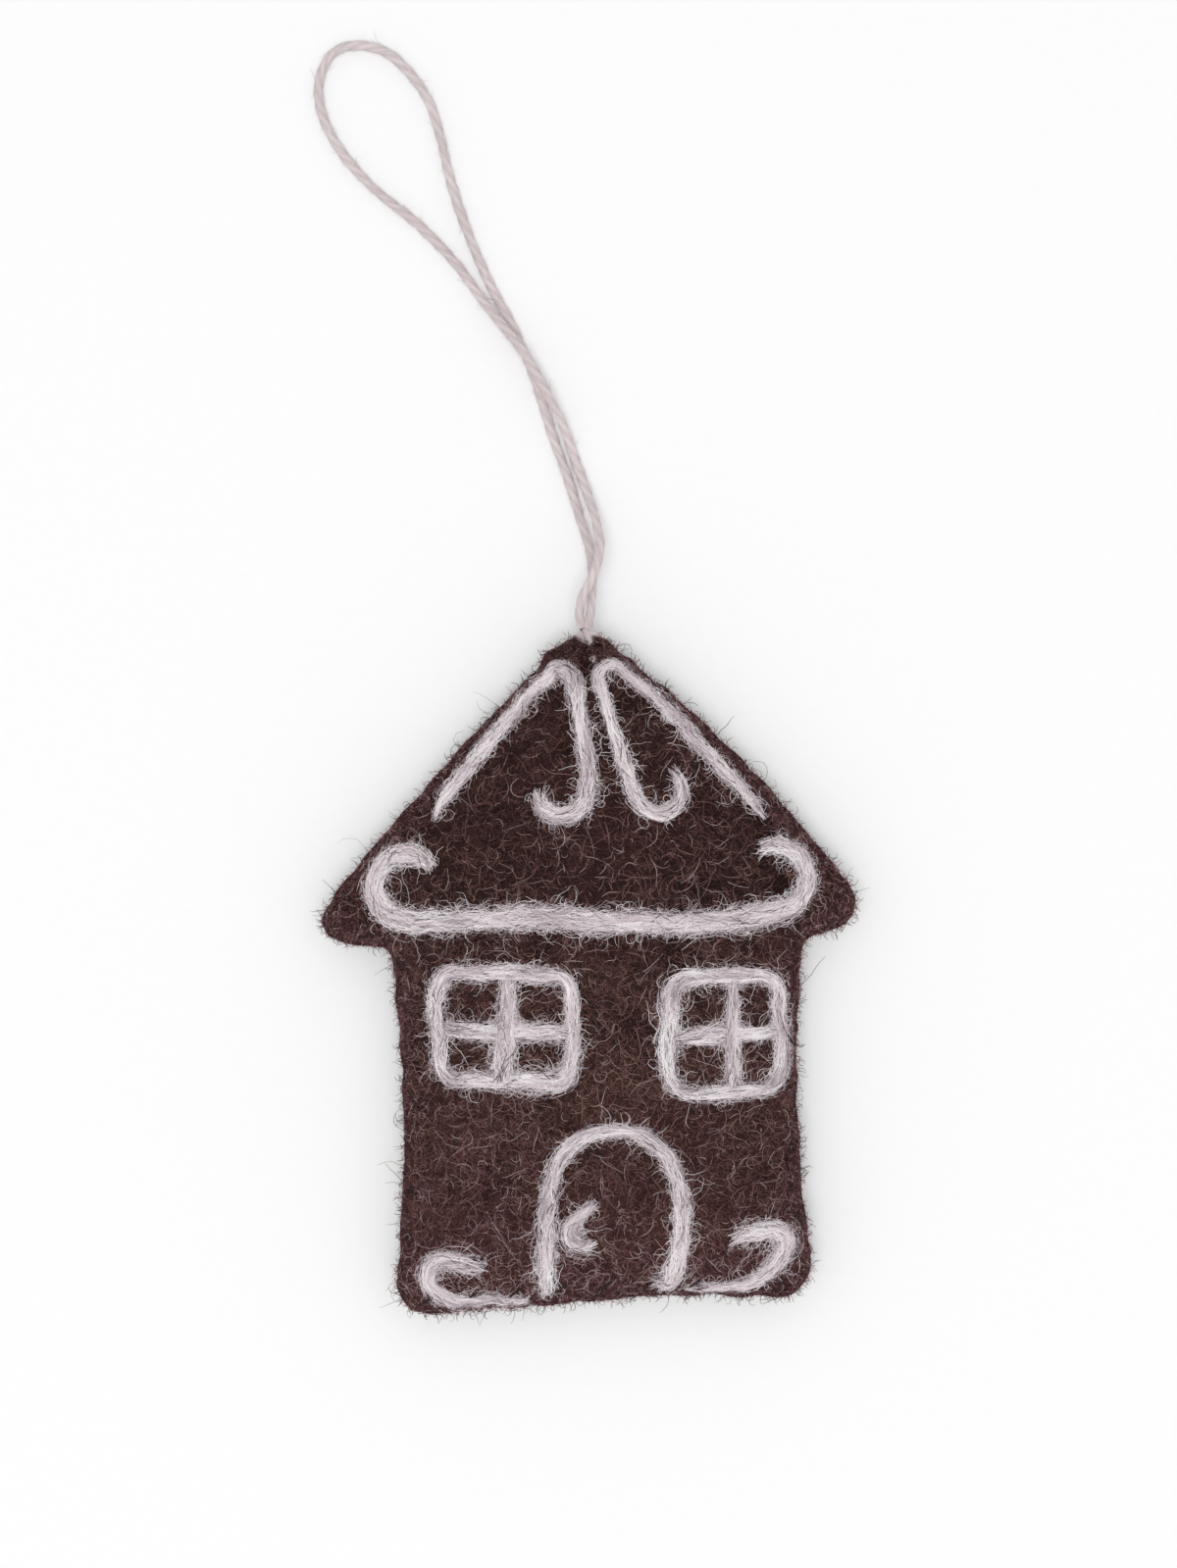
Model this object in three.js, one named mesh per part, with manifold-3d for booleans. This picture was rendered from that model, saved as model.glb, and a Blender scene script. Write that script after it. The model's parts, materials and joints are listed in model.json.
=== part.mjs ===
// A stuffed felt ornament in the shape of a gabled house, lying on its back.
// X points right, Y towards the peak and Z out of the front; millimetres.
import * as THREE from "three";
import { mergeVertices } from "three/addons/utils/BufferGeometryUtils.js";
import Module from "manifold-3d";

const wasm = await Module();
wasm.setup();

// The house's outline, before its corners are rounded
const wallSpan = 54;
const wallHeight = 48;
const baseSpan = 55;
const eaveSpan = 75;
const gableHeight = 43;
const eaveLine = 4;
const apexRadius = 5;
const eaveTipRadius = 3;
const nookRadius = 2.2;
const baseRadius = 4;

// How far the hand-cut outline leaves a symmetrical one
const apexShift = -0.6;
const leftTipReach = 1.3;
const rightTipReach = 0.6;
const wallShift = 1;
const baseShift = 2;
const leftTipLift = 0.7;
const rightTipLift = 3.9;
const nookDrop = 0.5;
const leftBaseDrop = 1;
const rightBaseLift = 1.7;
const leftRoofBow = 0.75;
const rightRoofBow = 1.6;
const wallWaist = 1.25;
const baseWaist = 1;

// The felt and its filling
const feltThickness = 2;
const rimWidth = 2.4;
const backOverhang = 0.4;
const frontCrown = 5.8;
const backCrown = 2.9;
const restingCut = 0.5;
const seatGap = 0.3;
const domeCell = 0.8;
const domeFullness = 0.62;
const outlineStep = 7.5;
const ridgeSteps = 8;
const cornerSteps = 3;

// The overcast seam
const threadDiameter = 0.6;
const stitchPitch = 6;
const stitchInset = 1.5;
const seamStart = 6;
const threadSides = 5;
const threadHoleSides = 6;

// The string, its knot and its stitch through the peak
const stringDiameter = 1.3;
const stringSides = 8;
const stringHoleSides = 10;
const knotRing = 0.95;
const knotReach = 1.3;
const knotLift = 0.45;
const rootLift = 1.4;
const stitchDepth = 2.5;
const swingClearance = 0.65;

// The wool rovings
const rovingHeight = 1.3;
const rovingStep = 2.4;
const bendAngle = 30;
const leftScrollWidth = 2.2;
const rightScrollWidth = 1.9;
const bandWidth = 3.1;
const archWidth = 2.5;
const handleWidth = 1.9;
const baseScrollWidth = 2.2;
const frameWidth = 2.1;
const barWidth = 2.2;
const leftUprightWidth = 2.8;
const rightUprightWidth = 2.1;
const paneRadius = 3;
const rightBarShift = 0.7;

// How far every cutter runs past what it cuts
const overrun = 5;

const threadRadius = threadDiameter / 2;
const stringRadius = stringDiameter / 2;
const backRimLow = backCrown - restingCut;
const seam = backRimLow + feltThickness + seatGap / 2;
const rimTop = seam + seatGap / 2 + feltThickness;

const flat = (x, y) => new THREE.Vector2(x, y);
const solid = (x, y, z) => new THREE.Vector3(x, y, z);

function material(color, roughness) {
  return new THREE.MeshStandardMaterial({ color, roughness, metalness: 0 });
}

const feltFront = () => material("#46332f", 0.97);
const feltBack = () => material("#4b302f", 0.97);
const wool = () => material("#c4b8ba", 0.95);
const string = () => material("#cdc1c2", 0.9);

// Closed outlines: rounded corners joined by sides that may bow in or out
function roundCorner(before, corner, after) {
  const toBefore = before.at.clone().sub(corner.at).normalize();
  const toAfter = after.at.clone().sub(corner.at).normalize();
  const halfAngle = Math.acos(toBefore.dot(toAfter)) / 2;
  const bisector = toBefore.clone().add(toAfter).normalize();
  const centre = corner.at.clone().addScaledVector(bisector, corner.radius / Math.sin(halfAngle));
  const trim = corner.radius / Math.tan(halfAngle);
  const first = corner.at.clone().addScaledVector(toBefore, trim).sub(centre);
  const last = corner.at.clone().addScaledVector(toAfter, trim).sub(centre);
  const sweep = Math.atan2(first.cross(last), first.dot(last));
  const points = [];
  for (let step = 0; step <= cornerSteps; step += 1) {
    const arm = first.clone().rotateAround(flat(0, 0), (sweep * step) / cornerSteps);
    points.push(centre.clone().add(arm));
  }
  return points;
}

function outlineOf(corners, sideStep) {
  const count = corners.length;
  const rounded = corners.map((corner, index) =>
    roundCorner(corners[(index + count - 1) % count], corner, corners[(index + 1) % count]));
  const points = [];
  corners.forEach((corner, index) => {
    const next = corners[(index + 1) % count];
    rounded[index].forEach((point) => points.push({ at: point, spine: corner.spine }));
    const start = rounded[index].at(-1);
    const side = rounded[(index + 1) % count][0].clone().sub(start);
    const outward = flat(side.y, -side.x).normalize();
    const steps = Math.max(1, Math.round(side.length() / sideStep));
    for (let step = 1; step < steps; step += 1) {
      const share = step / steps;
      const point = start.clone().addScaledVector(side, share);
      point.addScaledVector(outward, (corner.bow ?? 0) * Math.sin(Math.PI * share));
      points.push({ at: point, spine: THREE.MathUtils.lerp(corner.spine, next.spine, share) });
    }
  });
  return points;
}

// An outline moved inwards by a distance, point by point
function inset(outline, distance) {
  const count = outline.length;
  return outline.map(({ at }, index) => {
    const arriving = at.clone().sub(outline[(index + count - 1) % count].at).normalize();
    const leaving = outline[(index + 1) % count].at.clone().sub(at).normalize();
    const along = arriving.clone().add(leaving).normalize();
    const inward = flat(-along.y, along.x);
    return at.clone().addScaledVector(inward, distance / along.dot(leaving));
  });
}

// Where the house's middle line meets each level, as shares of the gable's and the wall's height
const spineShares = { peak: 0.512, eave: 0.186, nook: 0.07, base: 0.688 };

// No corner is tighter than the rim inside it can turn
function houseCorners() {
  const tightest = backOverhang + rimWidth + seatGap / 2;
  const tipRadius = Math.max(eaveTipRadius, tightest);
  const footRadius = Math.max(baseRadius, tightest);
  const baseLine = eaveLine - wallHeight;
  const spineTop = eaveLine + spineShares.peak * gableHeight;
  const spineEave = eaveLine + spineShares.eave * gableHeight;
  const spineNook = eaveLine + spineShares.nook * gableHeight;
  const spineLow = eaveLine - spineShares.base * wallHeight;
  const eaveHalf = eaveSpan / 2;
  const wallHalf = wallSpan / 2;
  const baseHalf = baseSpan / 2;
  return [
    { at: flat(apexShift, eaveLine + gableHeight), radius: Math.max(apexRadius, tightest), bow: leftRoofBow,
      spine: spineTop },
    { at: flat(-eaveHalf - leftTipReach, eaveLine + leftTipLift), radius: tipRadius, spine: spineEave },
    { at: flat(wallShift - wallHalf, eaveLine - nookDrop), radius: nookRadius, bow: -wallWaist,
      spine: spineNook },
    { at: flat(baseShift - baseHalf, baseLine - leftBaseDrop), radius: footRadius, bow: -baseWaist,
      spine: spineLow },
    { at: flat(baseShift + baseHalf, baseLine + rightBaseLift), radius: footRadius, bow: -wallWaist,
      spine: spineLow },
    { at: flat(wallShift + wallHalf, eaveLine + nookDrop), radius: nookRadius, spine: spineNook },
    { at: flat(eaveHalf + rightTipReach, eaveLine + rightTipLift), radius: tipRadius, bow: rightRoofBow,
      spine: spineEave },
  ];
}

// The back's edge, the front's edge a little inside it, and the cavity that the filling swells
const outline = outlineOf(houseCorners(), outlineStep);
const backLine = inset(outline, 0);
const rimLine = inset(outline, backOverhang);
const cavityLine = inset(outline, backOverhang + rimWidth);
const seamLine = inset(outline, backOverhang + stitchInset);
const peakTop = Math.max(...rimLine.map((point) => point.y));

// Distance from a place to a closed line, and whether the line holds it
function distanceTo(line, place) {
  let least = Infinity;
  line.forEach((point, index) => {
    const side = line[(index + 1) % line.length].clone().sub(point);
    const share = THREE.MathUtils.clamp(place.clone().sub(point).dot(side) / side.lengthSq(), 0, 1);
    least = Math.min(least, place.distanceTo(point.clone().addScaledVector(side, share)));
  });
  return least;
}

function holds(line, x, y) {
  let inside = false;
  line.forEach((point, index) => {
    const next = line[(index + 1) % line.length];
    const spans = point.y > y !== next.y > y;
    if (spans && x < ((next.x - point.x) * (y - point.y)) / (next.y - point.y) + point.x) inside = !inside;
  });
  return inside;
}

// The filling swells the felt like a membrane held at the cavity's edge: 0 there, 1 at the crown
function membrane(line, cell) {
  const bounds = new THREE.Box2().setFromPoints(line);
  const columns = Math.ceil((bounds.max.x - bounds.min.x) / cell) + 2;
  const rows = Math.ceil((bounds.max.y - bounds.min.y) / cell) + 2;
  const swell = new Float64Array(columns * rows);
  const held = [];
  for (let row = 1; row < rows - 1; row += 1) {
    for (let column = 1; column < columns - 1; column += 1) {
      const index = row * columns + column;
      if (holds(line, bounds.min.x + column * cell, bounds.min.y + row * cell)) held.push(index);
    }
  }
  const sweeps = 500;
  const relaxation = 1.9;
  for (let sweep = 0; sweep < sweeps; sweep += 1) {
    for (const index of held) {
      const around = swell[index - 1] + swell[index + 1] + swell[index - columns] + swell[index + columns];
      swell[index] += relaxation * ((around + 1) / 4 - swell[index]);
    }
  }
  const most = swell.reduce((best, value) => Math.max(best, value), 0);
  return (x, y) => {
    const column = THREE.MathUtils.clamp((x - bounds.min.x) / cell, 0, columns - 2);
    const row = THREE.MathUtils.clamp((y - bounds.min.y) / cell, 0, rows - 2);
    const index = Math.floor(row) * columns + Math.floor(column);
    const low = THREE.MathUtils.lerp(swell[index], swell[index + 1], column % 1);
    const high = THREE.MathUtils.lerp(swell[index + columns], swell[index + columns + 1], column % 1);
    return (Math.max(0, THREE.MathUtils.lerp(low, high, row % 1)) / most) ** domeFullness;
  };
}

const dome = membrane(cavityLine, domeCell);
const ringShares = [0.09, 0.24, 0.46, 0.7, 0.88];

// Rings that run from the cavity's edge to the house's middle line, each point with its dome height
const domeRings = ringShares.map((share) => cavityLine.map((point, index) => {
  const place = point.clone().lerp(flat(0, outline[index].spine), share);
  return { place, rise: dome(place.x, place.y) };
}));

// The dome's ridge, where its rings close: places down the middle line
const ridgeTop = Math.max(...outline.map(({ spine }) => spine));
const ridgeLow = Math.min(...outline.map(({ spine }) => spine));
const ridge = Array.from({ length: ridgeSteps + 1 }, (_, step) => {
  const place = flat(0, THREE.MathUtils.lerp(ridgeTop, ridgeLow, step / ridgeSteps));
  return { place, rise: dome(place.x, place.y) };
});

const raised = (ring, base, crown) =>
  ring.map(({ place, rise }) => solid(place.x, place.y, base + crown * rise));
const level = (line, height) => line.map((point) => solid(point.x, point.y, height));

function geometryFrom(vertices, faces) {
  const geometry = new THREE.BufferGeometry().setFromPoints(vertices);
  geometry.setIndex(faces.flat());
  return geometry;
}

// A closed body from rings of the outline's places, its two ends drawn together on the ridges
function closedBody(rings, lowRidge, highRidge) {
  const count = rings[0].length;
  const faces = [];
  for (let ring = 0; ring < rings.length - 1; ring += 1) {
    for (let side = 0; side < count; side += 1) {
      const near = ring * count + side;
      const beside = ring * count + ((side + 1) % count);
      faces.push([near, beside, near + count], [beside, beside + count, near + count]);
    }
  }
  const levels = outline.map(({ spine }) =>
    Math.round((ridgeSteps * (ridgeTop - spine)) / (ridgeTop - ridgeLow)));
  const cover = (ringStart, ridgeStart, flip) => {
    const push = (a, b, c) => faces.push(flip ? [c, b, a] : [a, b, c]);
    levels.forEach((level, side) => {
      const beside = (side + 1) % count;
      push(ringStart + side, ringStart + beside, ridgeStart + level);
      const towards = Math.sign(levels[beside] - level);
      for (let here = level; here !== levels[beside]; here += towards) {
        push(ringStart + beside, ridgeStart + here + towards, ridgeStart + here);
      }
    });
  };
  const ridges = rings.length * count;
  cover(0, ridges, true);
  cover(ridges - count, ridges + ridge.length, false);
  return geometryFrom([...rings.flat(), ...lowRidge, ...highRidge], faces);
}

function toManifold(geometry) {
  const bare = geometry.clone();
  bare.deleteAttribute("normal");
  bare.deleteAttribute("uv");
  const merged = mergeVertices(bare);
  return new wasm.Manifold(new wasm.Mesh({
    numProp: 3,
    vertProperties: new Float32Array(merged.attributes.position.array),
    triVerts: new Uint32Array(merged.index.array),
  }));
}

function toGeometry(body) {
  const mesh = body.getMesh();
  const geometry = new THREE.BufferGeometry();
  geometry.setAttribute("position", new THREE.BufferAttribute(new Float32Array(mesh.vertProperties), 3));
  geometry.setIndex(new THREE.BufferAttribute(new Uint32Array(mesh.triVerts), 1));
  return geometry;
}

// A path whose rings stand exactly on the given points
class PointPath extends THREE.Curve {
  constructor(points) {
    super();
    this.points = points;
  }

  getPoint(share, target = solid(0, 0, 0)) {
    const place = share * (this.points.length - 1);
    const index = Math.min(Math.floor(place), this.points.length - 2);
    return target.lerpVectors(this.points[index], this.points[index + 1], place - index);
  }

  getUtoTmapping(share) {
    return share;
  }

  getSpacedPoints() {
    return this.points;
  }
}

function section(radius, sides) {
  const corners = Array.from({ length: sides }, (_, side) =>
    flat(radius, 0).rotateAround(flat(0, 0), (2 * Math.PI * side) / sides));
  return new THREE.Shape(corners);
}

function tube(points, radius, sides) {
  return new THREE.ExtrudeGeometry(section(radius, sides), {
    steps: points.length - 1,
    extrudePath: new PointPath(points),
  });
}

// The least gap of a tube to itself, between stretches at least so far apart along it
function leastGap(points, diameter, apart) {
  const travelled = [0];
  points.slice(1).forEach((point, index) =>
    travelled.push(travelled[index] + point.distanceTo(points[index])));
  let least = Infinity;
  points.forEach((point, index) => {
    for (let other = index + 1; other < points.length - 1; other += 1) {
      if (travelled[other] - travelled[index] < apart) continue;
      const line = new THREE.Line3(points[other], points[other + 1]);
      const nearest = line.closestPointToPoint(point, true, solid(0, 0, 0));
      least = Math.min(least, nearest.distanceTo(point) - diameter);
    }
  });
  return least;
}

// A place at a distance along the front's edge, with the direction out of the house
function seamPlace(distance) {
  let left = distance;
  let index = 0;
  while (left > sideLengths[index] && index < sideLengths.length - 1) {
    left -= sideLengths[index];
    index += 1;
  }
  const next = (index + 1) % rimLine.length;
  const share = left / sideLengths[index];
  const at = rimLine[index].clone().lerp(rimLine[next], share);
  const outward = at.clone().sub(seamLine[index].clone().lerp(seamLine[next], share)).normalize();
  return { at, outward };
}

// An overcast stitch runs down through its hole, out under the back, round the edge and on to the next hole.
// The shares say how far each leg has gone on towards that hole.
const legShares = [0, 0, 0.3, 0.45, 0.55, 0.7];
const sideLengths = rimLine.map((point, index) => rimLine[(index + 1) % rimLine.length].distanceTo(point));
const sumOf = (lengths) => lengths.reduce((sum, length) => sum + length, 0);

function seamRoute() {
  const peak = rimLine.findIndex((point) => point.y === peakTop);
  const shift = sumOf(sideLengths.slice(0, peak));
  const whole = sumOf(sideLengths);
  const free = whole - 2 * seamStart;
  const count = Math.round(free / stitchPitch);
  const pitch = free / count;
  const high = rimTop + seatGap + threadRadius;
  const low = backRimLow - seatGap - threadRadius;
  const out = backOverhang + seatGap + threadRadius;
  const chamfer = threadDiameter;
  const legs = [
    { inward: stitchInset, height: high },
    { inward: stitchInset, height: low },
    { inward: chamfer - out, height: low },
    { inward: -out, height: low + chamfer },
    { inward: -out, height: high - chamfer },
    { inward: chamfer - out, height: high },
  ];
  const points = [];
  const holes = [];
  for (let stitch = 0; stitch <= count; stitch += 1) {
    (stitch < count ? legs : legs.slice(0, 2)).forEach((leg, index) => {
      const { at, outward } = seamPlace((shift + seamStart + (stitch + legShares[index]) * pitch) % whole);
      const place = at.clone().addScaledVector(outward, -leg.inward);
      points.push(solid(place.x, place.y, leg.height));
      if (index === 0) holes.push(place);
    });
  }
  return { points, holes };
}

const seamThread = seamRoute();
const seamGap = leastGap(seamThread.points, threadDiameter, stitchPitch);
console.log(`seam: ${seamThread.holes.length} stitches, least gap to itself ${seamGap.toFixed(2)} mm`);

// The loop's root lies above the peak, clear of the knot as the loop swings
const knotAt = solid(apexShift, peakTop + seatGap + knotReach, seam + knotLift);
const root = solid(apexShift, knotAt.y + knotReach + seatGap + swingClearance, knotAt.z + rootLift);
const holeAt = flat(apexShift, peakTop - stitchDepth);

function drill(geometry) {
  const depth = rimTop + 2 * overrun;
  const cutters = seamThread.holes.map((place) => (
    { place, radius: threadRadius + seatGap, sides: threadHoleSides }));
  cutters.push({ place: holeAt, radius: stringRadius + seatGap, sides: stringHoleSides });
  return cutters.reduce((body, { place, radius, sides }) => {
    const hole = new THREE.ExtrudeGeometry(section(radius, sides), { depth, bevelEnabled: false });
    hole.translate(place.x, place.y, -overrun);
    return body.subtract(toManifold(hole));
  }, toManifold(geometry));
}

function frontPanel() {
  const low = rimTop - feltThickness;
  const rings = [
    ...domeRings.map((ring) => raised(ring, low, frontCrown)).reverse(),
    level(cavityLine, low),
    level(rimLine, low),
    level(rimLine, rimTop),
    level(cavityLine, rimTop),
    ...domeRings.map((ring) => raised(ring, rimTop, frontCrown)),
  ];
  const body = closedBody(rings, raised(ridge, low, frontCrown), raised(ridge, rimTop, frontCrown));
  return toGeometry(drill(body));
}

function backPanel() {
  const high = backRimLow + feltThickness;
  const rings = [
    ...domeRings.map((ring) => raised(ring, backRimLow, -backCrown)).reverse(),
    level(cavityLine, backRimLow),
    level(backLine, backRimLow),
    level(backLine, high),
    level(cavityLine, high),
    ...domeRings.map((ring) => raised(ring, high, -backCrown)),
  ];
  const body = closedBody(rings, raised(ridge, backRimLow, -backCrown), raised(ridge, high, -backCrown));
  const table = new THREE.BoxGeometry(2 * eaveSpan, 2 * eaveSpan, overrun).translate(0, 0, -overrun / 2);
  return toGeometry(drill(body).subtract(toManifold(table)));
}

// The filling keeps clear of both panels and stops short of the seam
function stuffing() {
  const high = rimTop - feltThickness - seatGap;
  const low = backRimLow + feltThickness + seatGap;
  const rings = [
    ...domeRings.map((ring) => raised(ring, low, -backCrown)).reverse(),
    ...domeRings.map((ring) => raised(ring, high, frontCrown)),
  ];
  return closedBody(rings, raised(ridge, low, -backCrown), raised(ridge, high, frontCrown));
}

// The front's own facets, for what lies on it
const frontSkin = (() => {
  const rings = [level(rimLine, rimTop), level(cavityLine, rimTop),
    ...domeRings.map((ring) => raised(ring, rimTop, frontCrown))];
  const body = closedBody(rings, raised(ridge, rimTop, 0), raised(ridge, rimTop, frontCrown));
  const position = body.attributes.position;
  const corner = (index) => solid(position.getX(index), position.getY(index), position.getZ(index));
  const triangles = [];
  for (let face = 0; face < body.index.count; face += 3) {
    const triangle = new THREE.Triangle(...[0, 1, 2].map((side) => corner(body.index.getX(face + side))));
    const normal = triangle.getNormal(solid(0, 0, 0));
    if (normal.z > 0) triangles.push(triangle);
  }
  return triangles;
})();

function frontHeight(x, y) {
  let height = rimTop;
  for (const { a, b, c } of frontSkin) {
    const across = (b.x - a.x) * (c.y - a.y) - (b.y - a.y) * (c.x - a.x);
    const second = ((x - a.x) * (c.y - a.y) - (y - a.y) * (c.x - a.x)) / across;
    const third = ((b.x - a.x) * (y - a.y) - (b.y - a.y) * (x - a.x)) / across;
    const inside = second >= 0 && third >= 0 && second + third <= 1;
    if (inside) height = Math.max(height, a.z + second * (b.z - a.z) + third * (c.z - a.z));
  }
  return height;
}

// What lies over the rim also clears the stitches there
function restingHeight(place) {
  const edge = distanceTo(rimLine, place);
  const overStitches = 1 - THREE.MathUtils.smoothstep(edge, rimWidth, 2 * rimWidth);
  return frontHeight(place.x, place.y) + seatGap + overStitches * (threadDiameter + seatGap);
}

// A roving's section: shares of its half width and of its height
const rovingSectionShares = [
  [-1, 0.4], [-0.6, 0], [0, 0], [0.6, 0], [1, 0.4], [0.55, 0.9], [0, 1], [-0.55, 0.9],
];

function rovingRing(place, along, width, height, lift) {
  const across = flat(-along.y, along.x);
  return rovingSectionShares.map(([side, up]) => {
    const spot = place.clone().addScaledVector(across, (side * width) / 2);
    return solid(spot.x, spot.y, restingHeight(spot) + lift + up * height);
  });
}

function sweptBody(rings, closed) {
  const count = rings[0].length;
  const last = closed ? rings.length : rings.length - 1;
  const faces = [];
  for (let ring = 0; ring < last; ring += 1) {
    for (let side = 0; side < count; side += 1) {
      const here = ring * count;
      const there = ((ring + 1) % rings.length) * count;
      const beside = (side + 1) % count;
      faces.push([here + side, here + beside, there + side], [here + beside, there + beside, there + side]);
    }
  }
  if (!closed) {
    for (let side = 1; side < count - 1; side += 1) {
      const end = (rings.length - 1) * count;
      faces.push([0, side + 1, side], [end, end + side, end + side + 1]);
    }
  }
  return geometryFrom(rings.flat(), faces);
}

// A roving follows its line, thinning towards each end; over another roving it takes a step up
const taperShare = 0.12;

function roving(line, { width, endShares, closed = false, over = null }) {
  const last = line.length - 1;
  const rings = line.map((place, index) => {
    const before = closed ? line[(index + last) % line.length] : line[Math.max(0, index - 1)];
    const after = closed ? line[(index + 1) % line.length] : line[Math.min(last, index + 1)];
    const along = after.clone().sub(before).normalize();
    const share = index / last;
    const fade = closed ? 1 : Math.min(
      THREE.MathUtils.lerp(endShares[0], 1, THREE.MathUtils.smoothstep(share, 0, taperShare)),
      THREE.MathUtils.lerp(endShares[1], 1, THREE.MathUtils.smoothstep(1 - share, 0, taperShare)));
    const reach = over ? place.distanceTo(over.at) : 0;
    const near = over ? 1 - THREE.MathUtils.smoothstep(reach, over.width, 2 * over.width) : 0;
    const height = rovingHeight * Math.sqrt(fade);
    return rovingRing(place, along, width * fade, height, near * (rovingHeight + seatGap));
  });
  return sweptBody(rings, closed);
}

// Where shares of the gable's and of the wall's half width and height lie, and how slim each one is
const onGable = {
  place: ([side, up]) => flat((side * eaveSpan) / 2, eaveLine + up * gableHeight),
  height: gableHeight,
  slimShare: 1.147,
};
const onWall = {
  place: ([side, up]) => flat((side * wallSpan) / 2, eaveLine + up * wallHeight),
  height: wallHeight,
  slimShare: 1.778,
};

// A line drawn like a pen stroke: each run is a share of the length and the degrees it turns through
function stroke({ on, startShares, startAngle, lengthShare, runShares }) {
  const pen = flat(...startShares);
  const points = [on.place(pen.toArray())];
  let direction = THREE.MathUtils.degToRad(startAngle);
  for (const [share, degrees] of runShares) {
    const turn = THREE.MathUtils.degToRad(degrees);
    const run = lengthShare * share;
    const steps = Math.ceil(Math.max((run * on.height) / rovingStep, Math.abs(degrees) / bendAngle));
    for (let index = 0; index < steps; index += 1) {
      direction += turn / steps / 2;
      const step = flat(run / steps, 0).rotateAround(flat(0, 0), direction);
      pen.add(flat(step.x * on.slimShare, step.y));
      direction += turn / steps / 2;
      points.push(on.place(pen.toArray()));
    }
  }
  return points;
}

const strokes = {
  roof_scroll_left: {
    on: onGable, startShares: [-0.545, 0.39], startAngle: 77, lengthShare: 1.24,
    width: leftScrollWidth, endShares: [0.5, 0.7],
    runShares: [[0.08, -27], [0.36, 0], [0.1, -127], [0.26, -10], [0.04, -36], [0.16, -140]],
  },
  roof_scroll_right: {
    on: onGable, startShares: [0.611, 0.393], startAngle: 124, lengthShare: 1.36,
    width: rightScrollWidth, endShares: [0.4, 0.6],
    runShares: [[0.1, 10], [0.25, -6], [0.125, 34], [0.065, 122], [0.245, 6], [0.045, 16], [0.17, 195]],
  },
  eave_band: {
    on: onGable, startShares: [-0.55, 0.242], startAngle: 128, lengthShare: 1.92,
    width: bandWidth, endShares: [0.45, 0.45],
    runShares: [[0.205, 218], [0.07, 22], [0.17, -12], [0.21, 5], [0.16, 7], [0.185, 195]],
  },
  door_arch: {
    on: onWall, startShares: [-0.204, -0.969], startAngle: 96, lengthShare: 1.12,
    width: archWidth, endShares: [0.5, 0.5],
    runShares: [[0.285, -16], [0.42, -154], [0.295, -40]],
  },
  door_handle: {
    on: onWall, startShares: [0.024, -0.715], startAngle: -146, lengthShare: 0.188,
    width: handleWidth, endShares: [0.5, 0.5],
    runShares: [[0.45, 26], [0.55, 150]],
  },
  base_scroll_left: {
    on: onWall, startShares: [-0.519, -0.896], startAngle: 160, lengthShare: 0.5,
    width: baseScrollWidth, endShares: [0.5, 0.5],
    runShares: [[0.21, 14], [0.21, 132], [0.24, 50], [0.34, 10]],
  },
  base_scroll_right: {
    on: onWall, startShares: [0.48, -0.953], startAngle: 0, lengthShare: 0.5,
    width: baseScrollWidth, endShares: [0.5, 0.5],
    runShares: [[0.28, 8], [0.33, 56], [0.2, 136], [0.19, 30]],
  },
};

// The windows: each one's middle and its size are shares of the wall's
const paneShares = {
  left: { middle: [-0.41, -0.235], across: 0.33, up: 0.31 },
  right: { middle: [0.67, -0.245], across: 0.2815, up: 0.325 },
};
const windows = {
  left: { ...paneShares.left, tiltAngle: -1.5, barShift: 0, uprightWidth: leftUprightWidth },
  right: { ...paneShares.right, tiltAngle: 1.5, barShift: rightBarShift, uprightWidth: rightUprightWidth },
};

function windowFrame({ middle, across, up, tiltAngle }) {
  const centre = onWall.place(middle);
  const reach = flat((across * wallSpan) / 2, (up * wallHeight) / 2);
  const corners = [flat(-1, 1), flat(-1, -1), flat(1, -1), flat(1, 1)].map((side) => ({
    at: centre.clone().add(side.multiply(reach)),
    radius: paneRadius,
  }));
  const turned = outlineOf(corners, rovingStep).map(({ at }) =>
    at.rotateAround(centre, THREE.MathUtils.degToRad(tiltAngle)));
  return roving(turned, { width: frameWidth, closed: true });
}

function windowBar({ middle, across, up, tiltAngle, barShift, uprightWidth }, upright) {
  const opening = upright ? up * wallHeight : across * wallSpan;
  const reach = opening / 2 - frameWidth / 2 - seatGap;
  const steps = 2 * Math.ceil(reach / rovingStep);
  const turn = THREE.MathUtils.degToRad(upright ? tiltAngle - 90 : tiltAngle);
  const centre = onWall.place(middle);
  const crossing = centre.clone().add(flat(barShift, 0));
  const line = Array.from({ length: steps + 1 }, (_, index) => {
    const along = flat(reach * ((2 * index) / steps - 1), 0);
    return along.rotateAround(flat(0, 0), turn).add(upright ? crossing : centre);
  });
  const over = upright ? { at: crossing, width: barWidth } : null;
  return roving(line, { width: upright ? uprightWidth : barWidth, endShares: [0.75, 0.75], over });
}

// The knot: two turns of string pulled tight across each other, each wider than it is high
const knotStrandShare = 0.9;
const knotWidthShare = 1.25;

function loopKnot() {
  const ringSteps = 14;
  const crossing = Math.PI / 8;
  const turns = [crossing, -crossing].map((angle) => {
    const turn = new THREE.TorusGeometry(knotRing, stringRadius * knotStrandShare, stringSides, ringSteps);
    turn.rotateX(Math.PI / 2);
    turn.scale(knotWidthShare, 1, 1);
    turn.rotateZ(angle);
    return toManifold(turn);
  });
  return toGeometry(turns[0].add(turns[1])).translate(knotAt.x, knotAt.y, knotAt.z);
}

// The stitch runs from the knot over the front, through both panels and back up behind the peak
const bendShare = 0.7;

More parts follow.
